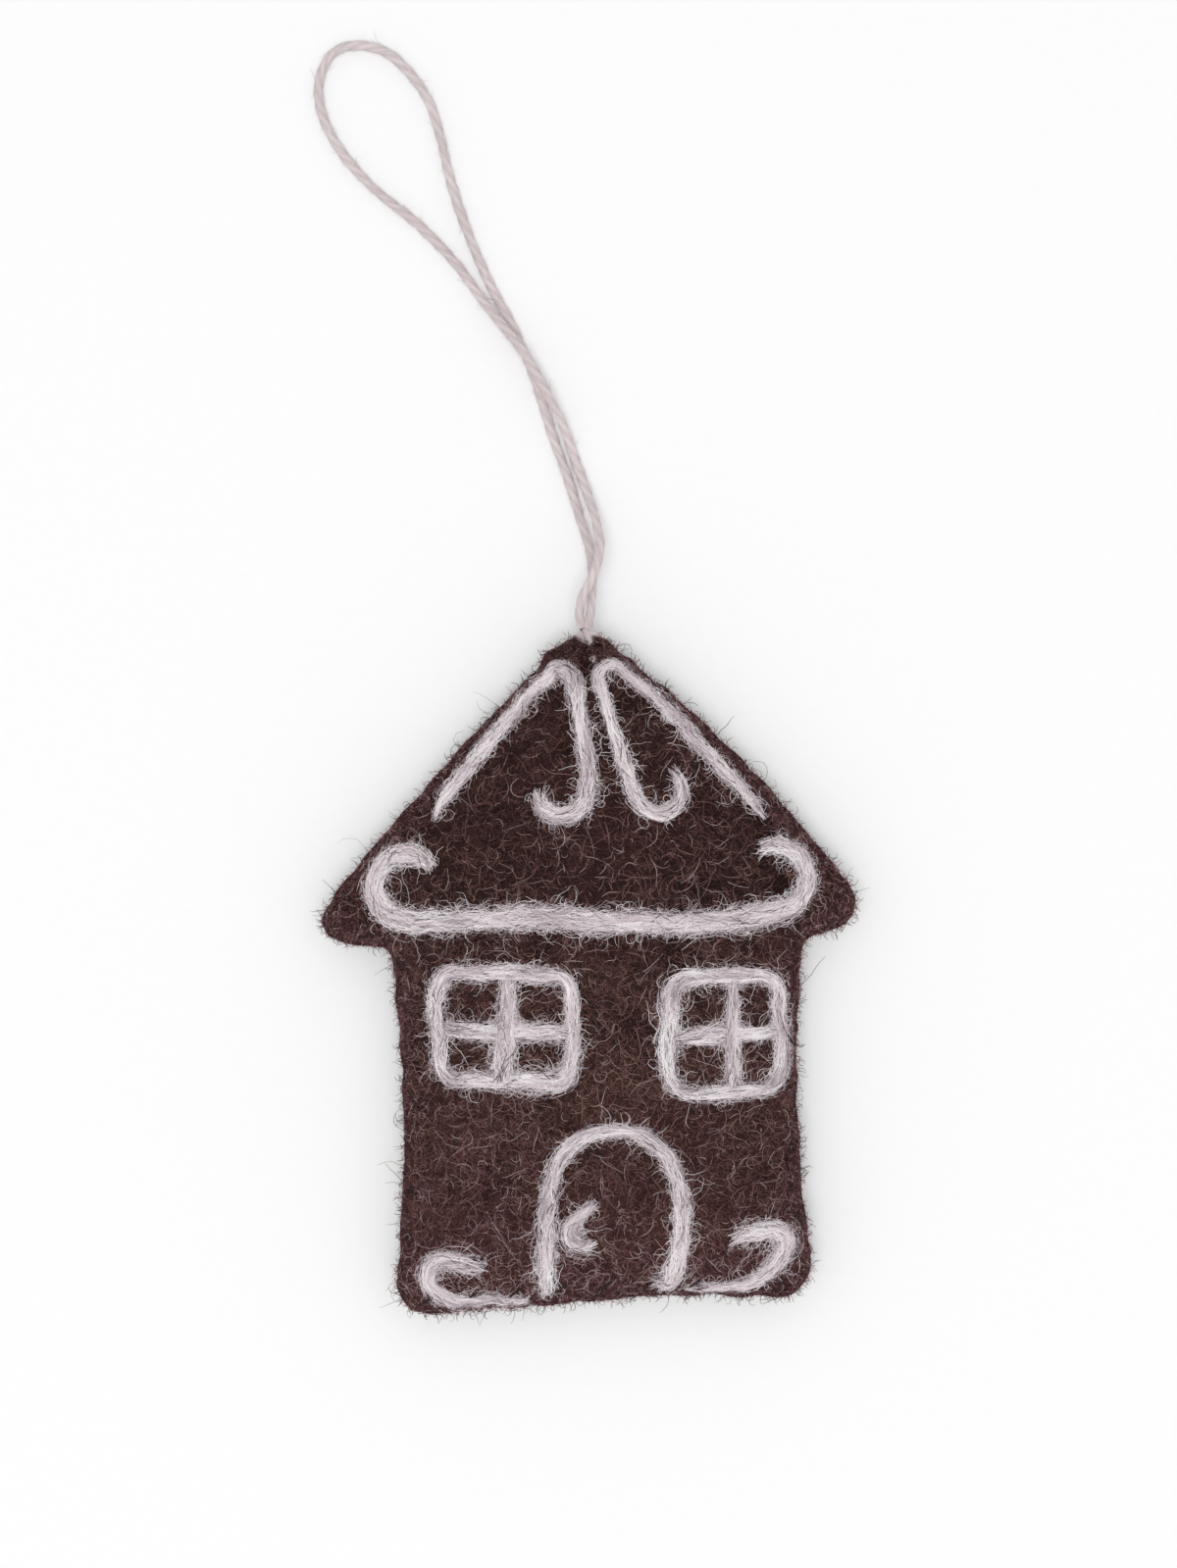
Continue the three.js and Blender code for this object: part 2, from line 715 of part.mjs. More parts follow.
function loopStitch() {
  const over = rimTop + seatGap + stringRadius;
  const under = backRimLow - seatGap - stringRadius;
  const knotUnder = knotAt.z - knotRing - stringDiameter;
  const bend = stringRadius * bendShare;
  const behind = peakTop + backOverhang + seatGap;
  const route = [
    [peakTop + stringRadius, over],
    [holeAt.y + bend, over],
    [holeAt.y, over - bend],
    [holeAt.y, under + bend],
    [holeAt.y + bend, under],
    [behind, under],
    [behind + knotUnder - under, knotUnder],
  ];
  return tube(route.map(([y, z]) => solid(holeAt.x, y, z)), stringRadius, stringSides);
}

// The loop's route from its root, chosen by hand: across, along and up, in millimetres
const loopPoints = [
  [-0.9, -0.3, 0], [-0.5, 1.6, 0.1], [0.5, 3.5, 0], [1.5, 5.9, -0.6], [2, 8.9, -1.8], [1.5, 12, -3.2],
  [0.6, 15.1, -4.6], [-0.4, 18, -5.5], [-1.4, 20.7, -5.65], [-2.3, 23.4, -5.1], [-3.2, 25.7, -4.3],
  [-4.4, 28.1, -3.9], [-5.8, 30.7, -3.8], [-7.3, 33.4, -3.8], [-9.1, 36, -3.75], [-11.4, 38.9, -4.3],
  [-13.8, 42, -5.15], [-17.2, 46.7, -5.65], [-22.4, 52.1, -5.65], [-28.6, 57.2, -5.65],
  [-33.1, 62.5, -5.65], [-35.4, 67.5, -5.65], [-35.5, 71.9, -5.65], [-33.6, 75.2, -5.65],
  [-30.5, 76.1, -5.65], [-26.7, 75.2, -5.65], [-23.6, 72.5, -5.65], [-20.9, 68.5, -5.65],
  [-19.4, 63.9, -5.65], [-18.1, 58.3, -5.65], [-16, 51.8, -5.65], [-12.8, 44.2, -5.65],
  [-9.5, 38, -5.65], [-6.6, 31.1, -5.65], [-4.4, 24, -5.65], [-2.2, 17.8, -5.65], [-0.7, 12.9, -5.5],
  [0.6, 8.6, -4.3], [1, 4.6, -2.9], [0.9, -0.3, 0],
];

function hangingLoop() {
  const curve = new THREE.CatmullRomCurve3(loopPoints.map((point) => root.clone().add(solid(...point))));
  const steps = 62;
  const points = curve.getSpacedPoints(steps);
  const gap = leastGap(points, stringDiameter, 8 * stringDiameter).toFixed(2);
  console.log(`string: ${curve.getLength().toFixed(1)} mm long, least gap to itself ${gap} mm`);
  return tube(points, stringRadius, stringSides);
}

const ornament = new THREE.Group();
const house = new THREE.Group();
const hanger = new THREE.Group();
ornament.add(house, hanger);

function place(group, name, geometry, finish) {
  const mesh = new THREE.Mesh(geometry, finish);
  mesh.name = name;
  group.add(mesh);
}

place(house, "front_panel", frontPanel(), feltFront());
place(house, "back_panel", backPanel(), feltBack());
place(house, "stuffing", stuffing(), material("#e6e0d8", 1));
place(house, "seam_thread", tube(seamThread.points, threadRadius, threadSides), material("#2b1d1d", 0.8));
for (const [name, pen] of Object.entries(strokes)) {
  place(house, name, roving(stroke(pen), pen), wool());
}
for (const [side, pane] of Object.entries(windows)) {
  place(house, `window_${side}_frame`, windowFrame(pane), wool());
  place(house, `window_${side}_bar_across`, windowBar(pane, false), wool());
  place(house, `window_${side}_bar_upright`, windowBar(pane, true), wool());
}
place(hanger, "loop_knot", loopKnot(), string());
place(hanger, "loop_stitch", loopStitch(), string());
place(hanger, "hanging_loop", hangingLoop(), string());

// The origin is the middle of the house's underside
const houseBox = new THREE.Box3().setFromObject(house);
const middle = houseBox.getCenter(solid(0, 0, 0));
ornament.position.set(-middle.x, -middle.y, -houseBox.min.z);
const inWords = (place) => place.toArray().map((length) => length.toFixed(2)).join(", ");
console.log(`house: ${inWords(houseBox.getSize(solid(0, 0, 0)))} mm`);
console.log(`root of the loop: ${inWords(root.clone().add(ornament.position))} mm`);

export default ornament;
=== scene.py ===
"""A stuffed felt house ornament on a pale floor, dressed over its CAD frame. Metres, in the CAD's frame."""

import itertools
import json
import math

import bpy
import numpy as np
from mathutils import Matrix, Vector
from mathutils.bvhtree import BVHTree
from mathutils.geometry import delaunay_2d_cdt


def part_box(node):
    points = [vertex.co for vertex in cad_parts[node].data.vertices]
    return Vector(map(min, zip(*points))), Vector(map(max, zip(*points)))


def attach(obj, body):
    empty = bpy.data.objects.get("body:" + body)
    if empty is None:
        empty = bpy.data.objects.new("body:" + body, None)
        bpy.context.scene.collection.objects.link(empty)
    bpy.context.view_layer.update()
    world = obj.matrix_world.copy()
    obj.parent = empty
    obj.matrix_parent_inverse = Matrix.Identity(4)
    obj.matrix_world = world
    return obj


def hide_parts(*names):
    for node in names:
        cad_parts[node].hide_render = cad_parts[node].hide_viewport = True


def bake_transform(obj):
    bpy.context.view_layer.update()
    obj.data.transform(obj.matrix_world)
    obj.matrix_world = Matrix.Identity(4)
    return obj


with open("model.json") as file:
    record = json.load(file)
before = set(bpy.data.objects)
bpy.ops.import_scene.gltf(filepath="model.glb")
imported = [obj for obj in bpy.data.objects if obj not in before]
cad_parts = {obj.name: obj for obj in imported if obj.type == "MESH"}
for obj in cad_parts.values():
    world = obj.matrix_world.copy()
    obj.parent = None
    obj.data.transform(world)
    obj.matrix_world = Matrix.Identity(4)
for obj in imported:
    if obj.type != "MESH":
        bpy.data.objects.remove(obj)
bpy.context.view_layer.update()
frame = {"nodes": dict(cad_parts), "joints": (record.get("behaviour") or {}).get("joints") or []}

MM = 0.001

# The photograph: its size, what a pixel measures and the pixel at the frame's origin
PHOTO_WIDTH = 1200
PHOTO_HEIGHT = 1599
PIXEL = 0.13 * MM
ORIGIN_PIXEL_X = 602.7
ORIGIN_PIXEL_Y = 996.1
LENS = 85
SENSOR = 36
FOCUS_HEIGHT = 6 * MM

# The house, from the frame
FRONT_LOW, FRONT_HIGH = (Vector(corner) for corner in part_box("front_panel"))
_, BACK_HIGH = (Vector(corner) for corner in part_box("back_panel"))
FELT = 2 * MM
SEAM_HEIGHT = (FRONT_LOW.z + BACK_HIGH.z) / 2
RIM_TOP = FRONT_LOW.z + FELT
RIM_LOW = BACK_HIGH.z - FELT
EDGE_CENTRE = Vector((0, 9 * MM))
FAR = 0.2
PLAN_LOW = np.array([-42, -51]) * MM
PLAN_HIGH = np.array([42, 53]) * MM
COMB_LOW = np.array([-42, -52]) * MM
COMB_HIGH = np.array([42, 54]) * MM
PEAK = FRONT_HIGH.y

# The gable and the wall that the icing follows, as they are cut in the CAD
SHIFT = Vector((-0.23 * MM, 0.4 * MM))
EAVE_LINE = 4 * MM
EAVE_SPAN = 75 * MM
GABLE_HEIGHT = 43 * MM
WALL_SPAN = 54 * MM
WALL_HEIGHT = 48 * MM

STRING = 1.3 * MM
ROOT = Vector(frame["joints"][0]["pos_m"])


def unit(vectors):
    """Vectors of length one."""
    return vectors / np.maximum(np.linalg.norm(vectors, axis=-1, keepdims=True), 1e-12)


def bell(values):
    """1 at 0, falling away to 0 on both sides."""
    return np.exp(-np.square(values))


def ramp(values, low, high):
    """0 up to low, 1 from high on, and even between."""
    return np.clip((values - low) / (high - low), 0, 1)


def lifted(plan, level):
    """Places in plan at their heights."""
    return np.concatenate([plan, level[..., None]], axis=-1)


def between(first, second, share):
    """The value at a share of the way from the first to the second."""
    return first * (1 - share) + second * share


def right_of(ahead):
    """Directions in plan, a quarter turn clockwise from those given."""
    return np.stack([ahead[..., 1], -ahead[..., 0]], axis=-1)


def heading(ahead):
    """The angles of directions in plan, from +X."""
    return np.arctan2(ahead[..., 1], ahead[..., 0])


def srgb(red, green, blue):
    """A screen colour, 0 to 255, as linear light with an alpha."""
    shares = np.array([red, green, blue]) / 255
    light = np.where(shares <= 0.04045, shares / 12.92, ((shares + 0.055) / 1.055) ** 2.4)
    return (*[float(part) for part in light], 1.0)


LATTICE = np.random.default_rng(11).random((32, 32, 32))


def noise(places, size, layer=0):
    """Smooth noise from -1 to 1 at places [..., 2 or 3], with lumps of about that size."""
    spots = np.asarray(places, float) / size + 17.3 * layer
    if spots.shape[-1] == 2:
        spots = np.concatenate([spots, np.full(spots.shape[:-1] + (1,), 0.37 + layer)], axis=-1)
    cell = np.floor(spots).astype(int)
    part = spots - cell
    part = part * part * (3 - 2 * part)
    total = np.zeros(spots.shape[:-1])
    for corner in itertools.product((0, 1), repeat=3):
        index = (cell + corner) % len(LATTICE)
        weight = np.prod(np.where(corner, part, 1 - part), axis=-1)
        total += weight * LATTICE[index[..., 0], index[..., 1], index[..., 2]]
    return 2 * total - 1


# Meshes


def linked(name, data):
    """A new object in the scene."""
    made = bpy.data.objects.new(name, data)
    bpy.context.scene.collection.objects.link(made)
    return made


def mesh_object(name, points, faces, materials, slots=None, coordinates=None, attributes=None):
    """An object from arrays of places and of faces with equal numbers of corners."""
    mesh = bpy.data.meshes.new(name)
    points = np.asarray(points, np.float32).reshape(-1, 3)
    faces = np.asarray(faces, np.int32)
    mesh.vertices.add(len(points))
    mesh.vertices.foreach_set("co", points.ravel())
    mesh.loops.add(faces.size)
    mesh.loops.foreach_set("vertex_index", faces.ravel())
    mesh.polygons.add(len(faces))
    mesh.polygons.foreach_set("loop_start", np.arange(0, faces.size, faces.shape[1], dtype=np.int32))
    for material in materials:
        mesh.materials.append(material)
    if slots is not None:
        mesh.polygons.foreach_set("material_index", np.asarray(slots, np.int32))
    if coordinates is not None:
        layer = mesh.uv_layers.new(name="along")
        layer.data.foreach_set("uv", np.asarray(coordinates, np.float32)[faces.ravel()].ravel())
    for label, values in (attributes or {}).items():
        layer = mesh.attributes.new(label, "FLOAT", "POINT")
        layer.data.foreach_set("value", np.asarray(values, np.float32))
    mesh.update(calc_edges=True)
    mesh.validate()
    mesh.shade_smooth()
    return linked(name, mesh)


def loft_faces(rings, sides, closed=False):
    """Quads between rings of places, each ring closed, the row of rings closed or open."""
    ring = np.arange(rings if closed else rings - 1)[:, None]
    side = np.arange(sides)[None, :]
    near = ring * sides
    far = ((ring + 1) % rings) * sides
    beside = (side + 1) % sides
    return np.stack([near + side, near + beside, far + beside, far + side], axis=-1).reshape(-1, 4)


def transported(path):
    """A path's own direction and two square to it at each of its places, without needless twist."""
    tangent = unit(np.gradient(path, axis=0))
    side = np.empty_like(path)
    across = np.cross(tangent[0], [0.0, 0.0, 1.0])
    if np.linalg.norm(across) < 0.1:
        across = np.array([1.0, 0.0, 0.0])
    for index, direction in enumerate(tangent):
        across = unit(across - direction * across.dot(direction))
        side[index] = across
    return tangent, side, np.cross(side, tangent)


def ringed(path, angle, radius):
    """Rings of places about a path, from angles and radii for each place and side."""
    _, side, rise = transported(path)
    turned_to = np.cos(angle)[..., None] * side[:, None, :] + np.sin(angle)[..., None] * rise[:, None, :]
    return path[:, None, :] + np.asarray(radius)[..., None] * turned_to


def circle(sides):
    """The angles of a ring's sides."""
    return 2 * math.pi * np.arange(sides) / sides


def unrolled(along, around):
    """A tube's coordinates: how far along it and how far around it each corner lies."""
    return np.stack(np.broadcast_arrays(along[:, None], around[None, :]), axis=-1).reshape(-1, 2)


def piece(made, node=None, body="house"):
    """A finished piece: what it rides on and the CAD node that it stands for.
    """
    if body:
        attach(made, body)
    if node:
        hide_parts(node)
    return made


# Lines


SPAN_STEPS = 24


def reached(t, low, high, first, second):
    """The value at t on a line that is at the first at low and at the second at high."""
    return (high - t) / (high - low) * first + (t - low) / (high - low) * second


def smooth_line(points, spacing):
    """A Catmull-Rom line through points, as places about that far apart."""
    points = np.asarray(points, float)
    held = np.concatenate([2 * points[:1] - points[1:2], points, 2 * points[-1:] - points[-2:-1]])
    knots = np.concatenate([[0], np.cumsum(np.sqrt(np.linalg.norm(np.diff(held, axis=0), axis=1)))])
    dense = []
    for index in range(1, len(held) - 2):
        t0, t1, t2, t3 = knots[index - 1:index + 3]
        p0, p1, p2, p3 = held[index - 1:index + 3]
        for t in np.linspace(t1, t2, SPAN_STEPS, endpoint=False):
            middle = reached(t, t1, t2, p1, p2)
            before = reached(t, t0, t2, reached(t, t0, t1, p0, p1), middle)
            after = reached(t, t1, t3, middle, reached(t, t2, t3, p2, p3))
            dense.append(reached(t, t1, t2, before, after))
    return evenly(np.array(dense + [points[-1]]), spacing)


def travelled(path):
    """How far along a path each of its places lies."""
    return np.concatenate([[0], np.cumsum(np.linalg.norm(np.diff(path, axis=0), axis=1))])


def evenly(line, spacing, closed=False):
    """The same line with its places at equal steps."""
    if closed:
        line = np.concatenate([line, line[:1]])
    marks = travelled(line)
    count = max(2, round(marks[-1] / spacing))
    stations = np.linspace(0, marks[-1], count + (not closed), endpoint=not closed)
    return np.stack([np.interp(stations, marks, column) for column in line.T], axis=1)


def line_length(path):
    return float(travelled(path)[-1])


# Materials


class Surface:
    """A material, built node by node."""

    def __init__(self, name, **inputs):
        self.material = bpy.data.materials.new(name)
        self.material.use_nodes = True
        self.nodes = self.material.node_tree.nodes
        self.links = self.material.node_tree.links
        self.shader = self.nodes["Principled BSDF"]
        self.feed(self.shader, {"Specular IOR Level": 0.2, **inputs})

    def join(self, socket, value):
        """Gives a socket its value, or links it to what feeds it."""
        if isinstance(value, bpy.types.NodeSocket):
            self.links.new(value, socket)
        else:
            socket.default_value = value

    def feed(self, node, inputs):
        for name, value in inputs.items():
            self.join(node.inputs[name], value)

    def add(self, kind, inputs=None, output=0, **settings):
        node = self.nodes.new(kind)
        for key, value in settings.items():
            setattr(node, key, value)
        self.feed(node, inputs or {})
        return node.outputs[output]

    def cloud(self, vector, size, detail=2.0, distortion=0.0):
        """Noise from 0 to 1 with lumps of about that size."""
        return self.add("ShaderNodeTexNoise", {
            "Vector": vector, "Scale": 1 / size, "Detail": detail, "Distortion": distortion})

    def place(self):
        return self.add("ShaderNodeTexCoord", output=3)

    def along(self, **mapping):
        """Coordinates along and around a tube, stretched or turned."""
        return self.add("ShaderNodeMapping", {"Vector": self.add("ShaderNodeTexCoord", output=2), **mapping})

    def attribute(self, name):
        return self.add("ShaderNodeAttribute", output=2, attribute_name=name)

    def math(self, operation, first, second=0.0):
        return self.add("ShaderNodeMath", {0: first, 1: second}, operation=operation)

    def spread(self, value, low, high, to_low=0.0, to_high=1.0):
        return self.add("ShaderNodeMapRange", {
            "Value": value, "From Min": low, "From Max": high, "To Min": to_low, "To Max": to_high},
            clamp=True)

    def mix(self, share, first, second):
        node = self.nodes.new("ShaderNodeMix")
        node.data_type = "RGBA"
        colours = [socket for socket in node.inputs if socket.type == "RGBA"]
        for socket, value in ((node.inputs[0], share), (colours[0], first), (colours[1], second)):
            self.join(socket, value)
        return [socket for socket in node.outputs if socket.type == "RGBA"][0]

    def curls(self, vector, size, width, distortion):
        """1 on thin curling lines, 0 between them: where smooth noise passes its middle value."""
        cloud = self.cloud(vector, size, 1.0, distortion)
        return self.spread(self.math("ABSOLUTE", self.math("SUBTRACT", cloud, 0.5)), 0.0, width, 1.0, 0.0)

    def finish(self, colour, height, depth, strength=1.0):
        bump = self.add("ShaderNodeBump", {"Height": height, "Distance": depth, "Strength": strength})
        self.feed(self.shader, {"Base Color": colour, "Normal": bump})
        return self.material


def felt_material(name, dark, brown, maroon, line):
    """Matted wool: mottled browns under lighter curls, redder at the edge, and darker up towards the gable
    with painted shade.
    """
    felt = Surface(name, Roughness=1.0, **{"Specular IOR Level": 0.05})
    place = felt.place()
    patches = felt.spread(felt.cloud(place, 9 * MM, 3.0, 0.6), 0.38, 0.62)
    blush = felt.math("MULTIPLY", felt.spread(felt.cloud(place, 14 * MM), 0.45, 0.7), 0.6)
    redness = felt.math("MAXIMUM", blush, felt.attribute("edge"))
    ground = felt.mix(redness, felt.mix(patches, dark, brown), maroon)
    coarse = felt.curls(place, 0.6 * MM, 0.03, 1.3)
    fine = felt.curls(place, 0.32 * MM, 0.045, 1.0)
    fibres = felt.math("MAXIMUM", coarse, felt.math("MULTIPLY", fine, 0.7))
    strength = felt.spread(felt.cloud(place, 2.2 * MM, 2.0), 0.3, 0.7, 0.3, 0.9)
    # Painted shade: from 2 mm to 12 mm up the plan, towards the gable, the felt is mixed towards a dark
    # brown.
    high = felt.add("ShaderNodeSeparateXYZ", {"Vector": place}, output=1)
    shade = felt.spread(high, 2 * MM, 12 * MM, 0.0, 0.4)
    colour = felt.mix(felt.math("MULTIPLY", fibres, strength), ground, line)
    colour = felt.mix(shade, colour, srgb(30, 18, 20))
    pits = felt.cloud(place, 0.35 * MM, 3.0, 0.5)
    return felt.finish(colour, felt.math("ADD", fibres, pits), 0.14 * MM, 0.9)


def wool_material(name, shadow, light):
    """Carded wool drawn out into a roving: streaks that run along it."""
    wool = Surface(name, Roughness=0.9)
    streaks = wool.cloud(wool.along(Scale=(0.12, 1.0, 1.0)), 0.16 * MM, 3.0, 0.4)
    clumps = wool.math("MULTIPLY", wool.cloud(wool.place(), 1.4 * MM, 2.0), 0.6)
    share = wool.spread(wool.math("ADD", streaks, clumps), 0.6, 1.0)
    return wool.finish(wool.mix(share, shadow, light), streaks, 0.1 * MM)


def string_material():
    """Cotton string: fine yarn lines along each ply, darker between the plies with painted shade, a few
    specks.
    """
    string = Surface("string_cotton", Roughness=0.85, **{"Sheen Weight": 0.2})
    yarn = string.cloud(string.along(Scale=(0.25, 1.0, 1.0)), 0.12 * MM, 2.0, 0.3)
    place = string.place()
    stains = string.spread(string.cloud(place, 5 * MM, 2.0), 0.35, 0.7)
    light = string.mix(stains, srgb(219, 207, 208), srgb(206, 194, 195))
    # Painted shade, not wear: the grooves between the plies are mixed towards a darker grey.
    worn = string.mix(string.math("MULTIPLY", string.attribute("groove"), 0.35), light, srgb(170, 156, 158))
    specks = string.spread(string.cloud(place, 0.5 * MM, 1.0), 0.79, 0.83)
    colour = string.mix(specks, worn, srgb(94, 66, 60))
    return string.finish(colour, yarn, 0.08 * MM)


def thread_material():
    """Sewing thread with its own twist."""
    thread = Surface("sewing_thread", Roughness=0.7)
    plies = thread.add("ShaderNodeTexWave", {
        "Vector": thread.along(Rotation=(0, 0, 0.6)), "Scale": 1 / (1.2 * MM), "Distortion": 0.5})
    return thread.finish(thread.mix(plies, srgb(34, 23, 23), srgb(66, 47, 45)), plies, 0.05 * MM)


def fibre_shades(name, colours):
    """Materials for single fibres, from dark to light."""
    return [Surface(f"{name}_fibre_{index}", Roughness=0.8, **{"Base Color": srgb(*colour)}).material
            for index, colour in enumerate(colours)]


def floor_material():
    floor = Surface("paper_floor", Roughness=0.8)
    grain = floor.cloud(floor.place(), 1.5 * MM, 3.0)
    colour = floor.mix(grain, (0.885, 0.885, 0.885, 1), (0.905, 0.905, 0.905, 1))
    return floor.finish(colour, grain, 0.01 * MM)


FELT_FRONT = felt_material(
    "felt_brown", srgb(26, 14, 14), srgb(50, 31, 28), srgb(66, 36, 37), srgb(156, 121, 114))
FELT_BACK = felt_material(
    "felt_maroon", srgb(40, 24, 26), srgb(56, 34, 36), srgb(66, 34, 39), srgb(118, 82, 84))
# The icing core's darker colour is partly the brown that shows between its strands and partly painted shade
# in those gaps.
WOOL = wool_material("icing_wool", srgb(98, 84, 88), srgb(214, 202, 207))
STRING_COTTON = string_material()
THREAD = thread_material()
FILLING = wool_material("filling_fibre", srgb(206, 200, 192), srgb(240, 236, 230))
BROWN_FIBRES = fibre_shades("brown", [
    (38, 24, 22), (76, 51, 46), (110, 79, 73), (140, 110, 104), (172, 151, 147)])
MAROON_FIBRES = fibre_shades("maroon", [
    (44, 27, 28), (84, 51, 53), (114, 77, 79), (144, 111, 112), (176, 155, 156)])
PALE_FIBRES = fibre_shades("pale", [(186, 174, 180), (227, 214, 219), (249, 240, 243), (255, 251, 252)])


# The camera, straight above at the photograph's framing


def add_camera():
    data = bpy.data.cameras.new("camera")
    data.lens = LENS
    data.sensor_width = SENSOR
    data.clip_start = 0.01
    camera = linked("camera", data)
    across = (PHOTO_WIDTH / 2 - ORIGIN_PIXEL_X) * PIXEL
    along = (ORIGIN_PIXEL_Y - PHOTO_HEIGHT / 2) * PIXEL
    camera.location = (across, along, FOCUS_HEIGHT + PHOTO_HEIGHT * PIXEL * LENS / SENSOR)
    bpy.context.scene.camera = camera


add_camera()


# The string


LOOP_POINTS = [
    (-0.9, -0.3, 0), (-0.5, 1.6, 0.1), (0.5, 3.5, 0), (1.5, 5.9, -0.6), (2, 8.9, -1.8), (1.5, 12, -3.2),
    (0.6, 15.1, -4.6), (-0.4, 18, -5.5), (-1.4, 20.7, -5.65), (-2.3, 23.4, -5.1), (-3.2, 25.7, -4.3),
    (-4.4, 28.1, -3.9), (-5.8, 30.7, -3.8), (-7.3, 33.4, -3.8), (-9.1, 36, -3.75), (-11.4, 38.9, -4.3),
    (-13.8, 42, -5.15), (-17.2, 46.7, -5.65), (-22.4, 52.1, -5.65), (-28.6, 57.2, -5.65),
    (-33.1, 62.5, -5.65), (-35.4, 67.5, -5.65), (-35.5, 71.9, -5.65), (-33.6, 75.2, -5.65),
    (-30.5, 76.1, -5.65), (-26.7, 75.2, -5.65), (-23.6, 72.5, -5.65), (-20.9, 68.5, -5.65),
    (-19.4, 63.9, -5.65), (-18.1, 58.3, -5.65), (-16, 51.8, -5.65), (-12.8, 44.2, -5.65),
    (-9.5, 38, -5.65), (-6.6, 31.1, -5.65), (-4.4, 24, -5.65), (-2.2, 17.8, -5.65), (-0.7, 12.9, -5.5),
    (0.6, 8.6, -4.3), (1, 4.6, -2.9), (0.9, -0.3, 0),
]

# Where both ends run on into the knot
ENDS_INWARD = np.array([0.6, 1, 1])
ENDS_TUCKED = np.array([0, -1.7, -0.7]) * MM

PLIES = 3
PLY_SIDES = 9
PLY_TURN = 7.5 * MM
PLY_RELIEF = 0.4


def twisted(name, path, diameter, seed=0):
    """A mesh of laid string along a path: plies that turn about it, with a slightly uneven twist."""
    along = travelled(path)
    spots = np.stack([along, 0 * along], axis=1)
    turn = 2 * math.pi * along / PLY_TURN + 0.5 * noise(spots, 6 * MM, seed + 1)
    thickness = 1 + 0.1 * noise(spots, 4 * MM, seed)
    angle = circle(PLIES * PLY_SIDES)
    ply_half = math.pi / PLIES
    away = np.abs((angle + ply_half) % (2 * ply_half) - ply_half)
    reach = 1 / (1 + 2 / math.sqrt(3))
    centre = 1 - reach
    bulge = centre * np.cos(away) + np.sqrt(np.maximum(reach ** 2 - (centre * np.sin(away)) ** 2, 0))
    bulge = 1 - PLY_RELIEF * (1 - np.maximum(bulge, 0.66))
    points = ringed(path, angle + turn[:, None], diameter / 2 * thickness[:, None] * bulge)
    points[..., 2] = np.maximum(points[..., 2], 0)
    # groove: where the hollows between the plies lie, for the painted shade that the string's material puts
    # there.
    groove = np.broadcast_to((1 - bulge) / (1 - bulge.min()), points.shape[:2])
    return mesh_object(
        name, points, loft_faces(len(path), len(angle)), [STRING_COTTON],
        coordinates=unrolled(along, angle / 2 * diameter), attributes={"groove": groove.ravel()})


def gathered(points):
    """The loop's ends drawn against each other where the knot holds them."""
    points[:, 0] *= 1 - 0.2 * bell(points[:, 1] / (3 * MM))
    return points


def add_string():
    """The hanging loop, bending at its root between the house and itself."""
    root = np.array(ROOT)
    points = gathered(np.array(LOOP_POINTS) * MM) + root
    ends = root + (points[[0, -1]] - root) * ENDS_INWARD + ENDS_TUCKED
    path = smooth_line(np.concatenate([ends[:1], points, ends[1:]]), 0.24 * MM)
    loop = twisted("loop_string", path, STRING)
    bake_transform(loop)
    piece(loop, "hanging_loop", body=None)
    return loop, path


loop_string, loop_path = add_string()


# The house's edge, from the frame


def tree_of(node):
    return BVHTree.FromObject(frame["nodes"][node], bpy.context.evaluated_depsgraph_get())


def edge_line(node, height, spacing):
    """A node's outer edge at a height, anticlockwise from +X, as places at equal steps."""
    tree = tree_of(node)
    places = []
    for angle in np.linspace(0, 2 * math.pi, 3600, endpoint=False):
        outward = Vector((math.cos(angle), math.sin(angle), 0))
        start = Vector((EDGE_CENTRE.x, EDGE_CENTRE.y, height)) + outward * FAR
        hit = tree.ray_cast(start, -outward)[0]
        places.append((hit.x, hit.y))
    return evenly(np.array(places), spacing, closed=True)


def softened(line, reach):
    """A closed line with its small kinks smoothed away."""
    window = np.hanning(2 * reach + 3)[1:-1]
    window = window / window.sum()
    padded = np.concatenate([line[-reach:], line, line[:reach]])
    return np.stack([np.convolve(column, window, mode="valid") for column in padded.T], axis=1)


def outwards(line):
    """Directions out of a closed anticlockwise line."""
    return right_of(unit(np.roll(line, -3, axis=0) - np.roll(line, 3, axis=0)))


EDGE_STEP = 0.4 * MM
STITCH_PITCH = 6 * MM
STITCH_START = 6 * MM
STITCH_INSET = 1.5 * MM
SAG = 0.45 * MM

# Where the edge bulges and how far, in millimetres
TEASED_PLACES = ((-5.4, 42.5, 0.5), (-2.8, 44.2, 0.3), (1.6, 44.3, 0.4), (5.4, 42.1, 0.3))

rim_line = softened(edge_line("front_panel", RIM_TOP - FELT / 2, EDGE_STEP), 3)
rim_out = outwards(rim_line)


def stitch_places():
    """Where stitches enter the front: the peak's index, then distances from it and their step."""
    peak = int(np.argmax(rim_line[:, 1]))
    whole = len(rim_line) * EDGE_STEP
    free = whole - 2 * STITCH_START
    count = round(free / STITCH_PITCH)
    along = STITCH_START + free / count * np.arange(count + 1)
    return peak, along, free / count


peak_index, stitch_along, stitch_step = stitch_places()


def on_edge(line, along):
    """The place on a closed line at a distance from the peak."""
    index = np.asarray(peak_index + along / EDGE_STEP) % len(line)
    low = np.floor(index).astype(int) % len(line)
    share = (index - np.floor(index))[..., None]
    return between(line[low], line[(low + 1) % len(line)], share)


